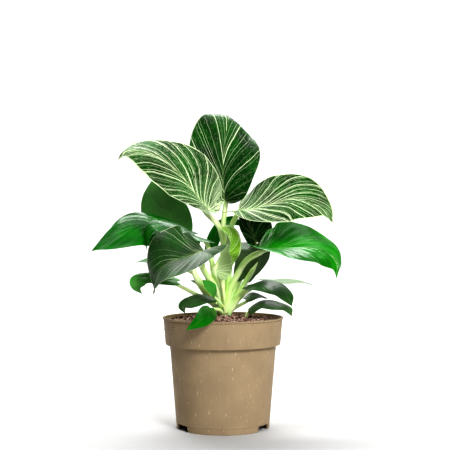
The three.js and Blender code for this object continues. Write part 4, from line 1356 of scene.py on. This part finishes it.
class BirkinStudioSettings(bpy.types.PropertyGroup):
    lens: number("Lens", "Focal length", 83.2, 10.0, unit="CAMERA")
    camera_place: bpy.props.FloatVectorProperty(
        name="Camera", description="Place of the level camera", default=(0.009, -1.041, 0.2),
        subtype="TRANSLATION", unit="LENGTH", precision=3)
    floor: swatch("Floor", "The pale studio paper", (0.52, 0.52, 0.52))
    key_power: number("Key light", "Power of the light on the right", 3.1, unit="POWER")
    top_power: number("Top light", "Power of the light above", 0.7, unit="POWER")
    front_power: number("Front light", "Power of the light by the camera", 0.45, unit="POWER")
    rim_power: number("Rim light", "Power of the strip light behind", 9.0, unit="POWER")
    back_power: number("Back light", "Power of the light on the back wall", 46.0, unit="POWER")
    sky: number("Room", "Strength of the room's even light", 0.06)


# Operators

class BIRKIN_OT_make_pot(bpy.types.Operator):
    """Make the moulded nursery pot"""
    bl_idname = "birkin.make_pot"
    bl_label = "Make Pot"

    def execute(self, context):
        settings = context.scene.birkin_pot
        pot = make_pot_shell(settings.segments)
        pot.data.materials.clear()
        pot.data.materials.append(plastic(settings))
        finished(pot, "pot_plastic", "pot")
        return {"FINISHED"}


class BIRKIN_OT_make_soil(bpy.types.Operator):
    """Fill the pot with potting mix and strew its top with crumbs and fibres"""
    bl_idname = "birkin.make_soil"
    bl_label = "Make Potting Mix"

    def execute(self, context):
        settings = context.scene.birkin_soil
        bed = soil_bed()
        paint(bed.data, "tone", BED_TONE)
        soil = crumb_tree(potting_mix(settings)).run(bed, "potting_mix", {
            "Crumbs": settings.crumbs, "Crumb Size": settings.crumb_size,
            "Fibres": settings.fibres, "Fibre Length": settings.fibre_length,
        })
        finished(soil, "soil", "soil")
        return {"FINISHED"}


class BIRKIN_OT_make_stalks(bpy.types.Operator):
    """Grow the stem, the leaf stalks and the side shoot"""
    bl_idname = "birkin.make_stalks"
    bl_label = "Make Stalks"

    def execute(self, context):
        settings = context.scene.birkin_stalks
        work = stalk_tree(stalk_skin(settings))
        sizes = {"Sides": settings.sides, "Groove": settings.groove, "Flatness": settings.flatness}
        crown = work.run(line_object("crown_lines", crown_lines()), "crown_of_stalks", sizes)
        finished(crown, "stalk", "crown")
        line, radii = stalk_line(LEAVES[-1], SHOOT_RADIUS * SHOOT_FOOT_SWELL, SIDE_SHOOT)
        lines = line_object("side_shoot_line", [(line, radii, (0, -1, 0), TINTS["shoot"])])
        finished(work.run(lines, "side_shoot_stalk", sizes), "stalk", "side_shoot")
        return {"FINISHED"}


class BIRKIN_OT_make_leaves(bpy.types.Operator):
    """Make every leaf blade with its veins and stripes"""
    bl_idname = "birkin.make_leaves"
    bl_label = "Make Leaves"

    def execute(self, context):
        settings = context.scene.birkin_leaves
        skins = {name: leaf_skin(name, look, settings) for name, look in LEAF_LOOKS.items()}
        for order, leaf in enumerate(LEAVES):
            blade = make_blade(leaf, order, settings)
            blade.data.materials.append(skins[leaf["finish"]])
            finished(blade, leaf["slot"], leaf["node"])
        return {"FINISHED"}


class BIRKIN_OT_set_studio(bpy.types.Operator):
    """Set up the pale floor, the soft lights and the camera"""
    bl_idname = "birkin.set_studio"
    bl_label = "Set Studio"

    def execute(self, context):
        settings = context.scene.birkin_studio
        studio_sweep(settings)
        for name, light in LIGHTS.items():
            soft_light(f"{name}_light", *light, getattr(settings, f"{name}_power"))
        world = bpy.data.worlds.new("studio_room")
        world.use_nodes = True
        room = world.node_tree.nodes["Background"]
        room.inputs["Color"].default_value = (1, 1, 1, 1)
        room.inputs["Strength"].default_value = settings.sky
        context.scene.world = world
        context.scene.view_settings.view_transform = "Standard"
        context.scene.view_settings.look = "High Contrast"
        level_camera(settings)
        return {"FINISHED"}


class BIRKIN_PT_panel(bpy.types.Panel):
    """Sizes, colours and buttons for the potted birkin philodendron"""
    bl_idname = "BIRKIN_PT_panel"
    bl_label = "Birkin Philodendron"
    bl_space_type = "VIEW_3D"
    bl_region_type = "UI"
    bl_category = "Birkin"

    def draw(self, context):
        for label, (operator, _) in STEPS.items():
            settings = getattr(context.scene, label)
            box = self.layout.box()
            for prop in settings.__annotations__:
                box.prop(settings, prop)
            box.operator(operator)


STEPS = {
    "birkin_pot": ("birkin.make_pot", BirkinPotSettings),
    "birkin_soil": ("birkin.make_soil", BirkinSoilSettings),
    "birkin_stalks": ("birkin.make_stalks", BirkinStalkSettings),
    "birkin_leaves": ("birkin.make_leaves", BirkinLeafSettings),
    "birkin_studio": ("birkin.set_studio", BirkinStudioSettings),
}
CLASSES = (
    *(settings for _, settings in STEPS.values()),
    BIRKIN_OT_make_pot, BIRKIN_OT_make_soil, BIRKIN_OT_make_stalks, BIRKIN_OT_make_leaves,
    BIRKIN_OT_set_studio, BIRKIN_PT_panel,
)


def register():
    for kind in CLASSES:
        bpy.utils.register_class(kind)
    for label, (_, settings) in STEPS.items():
        setattr(bpy.types.Scene, label, bpy.props.PointerProperty(type=settings))


def unregister():
    for label in STEPS:
        delattr(bpy.types.Scene, label)
    for kind in reversed(CLASSES):
        bpy.utils.unregister_class(kind)


def main():
    register()
    bpy.ops.birkin.make_pot()
    bpy.ops.birkin.make_soil()
    bpy.ops.birkin.make_stalks()
    bpy.ops.birkin.make_leaves()
    bpy.ops.birkin.set_studio()


if __name__ == "__main__":
    main()
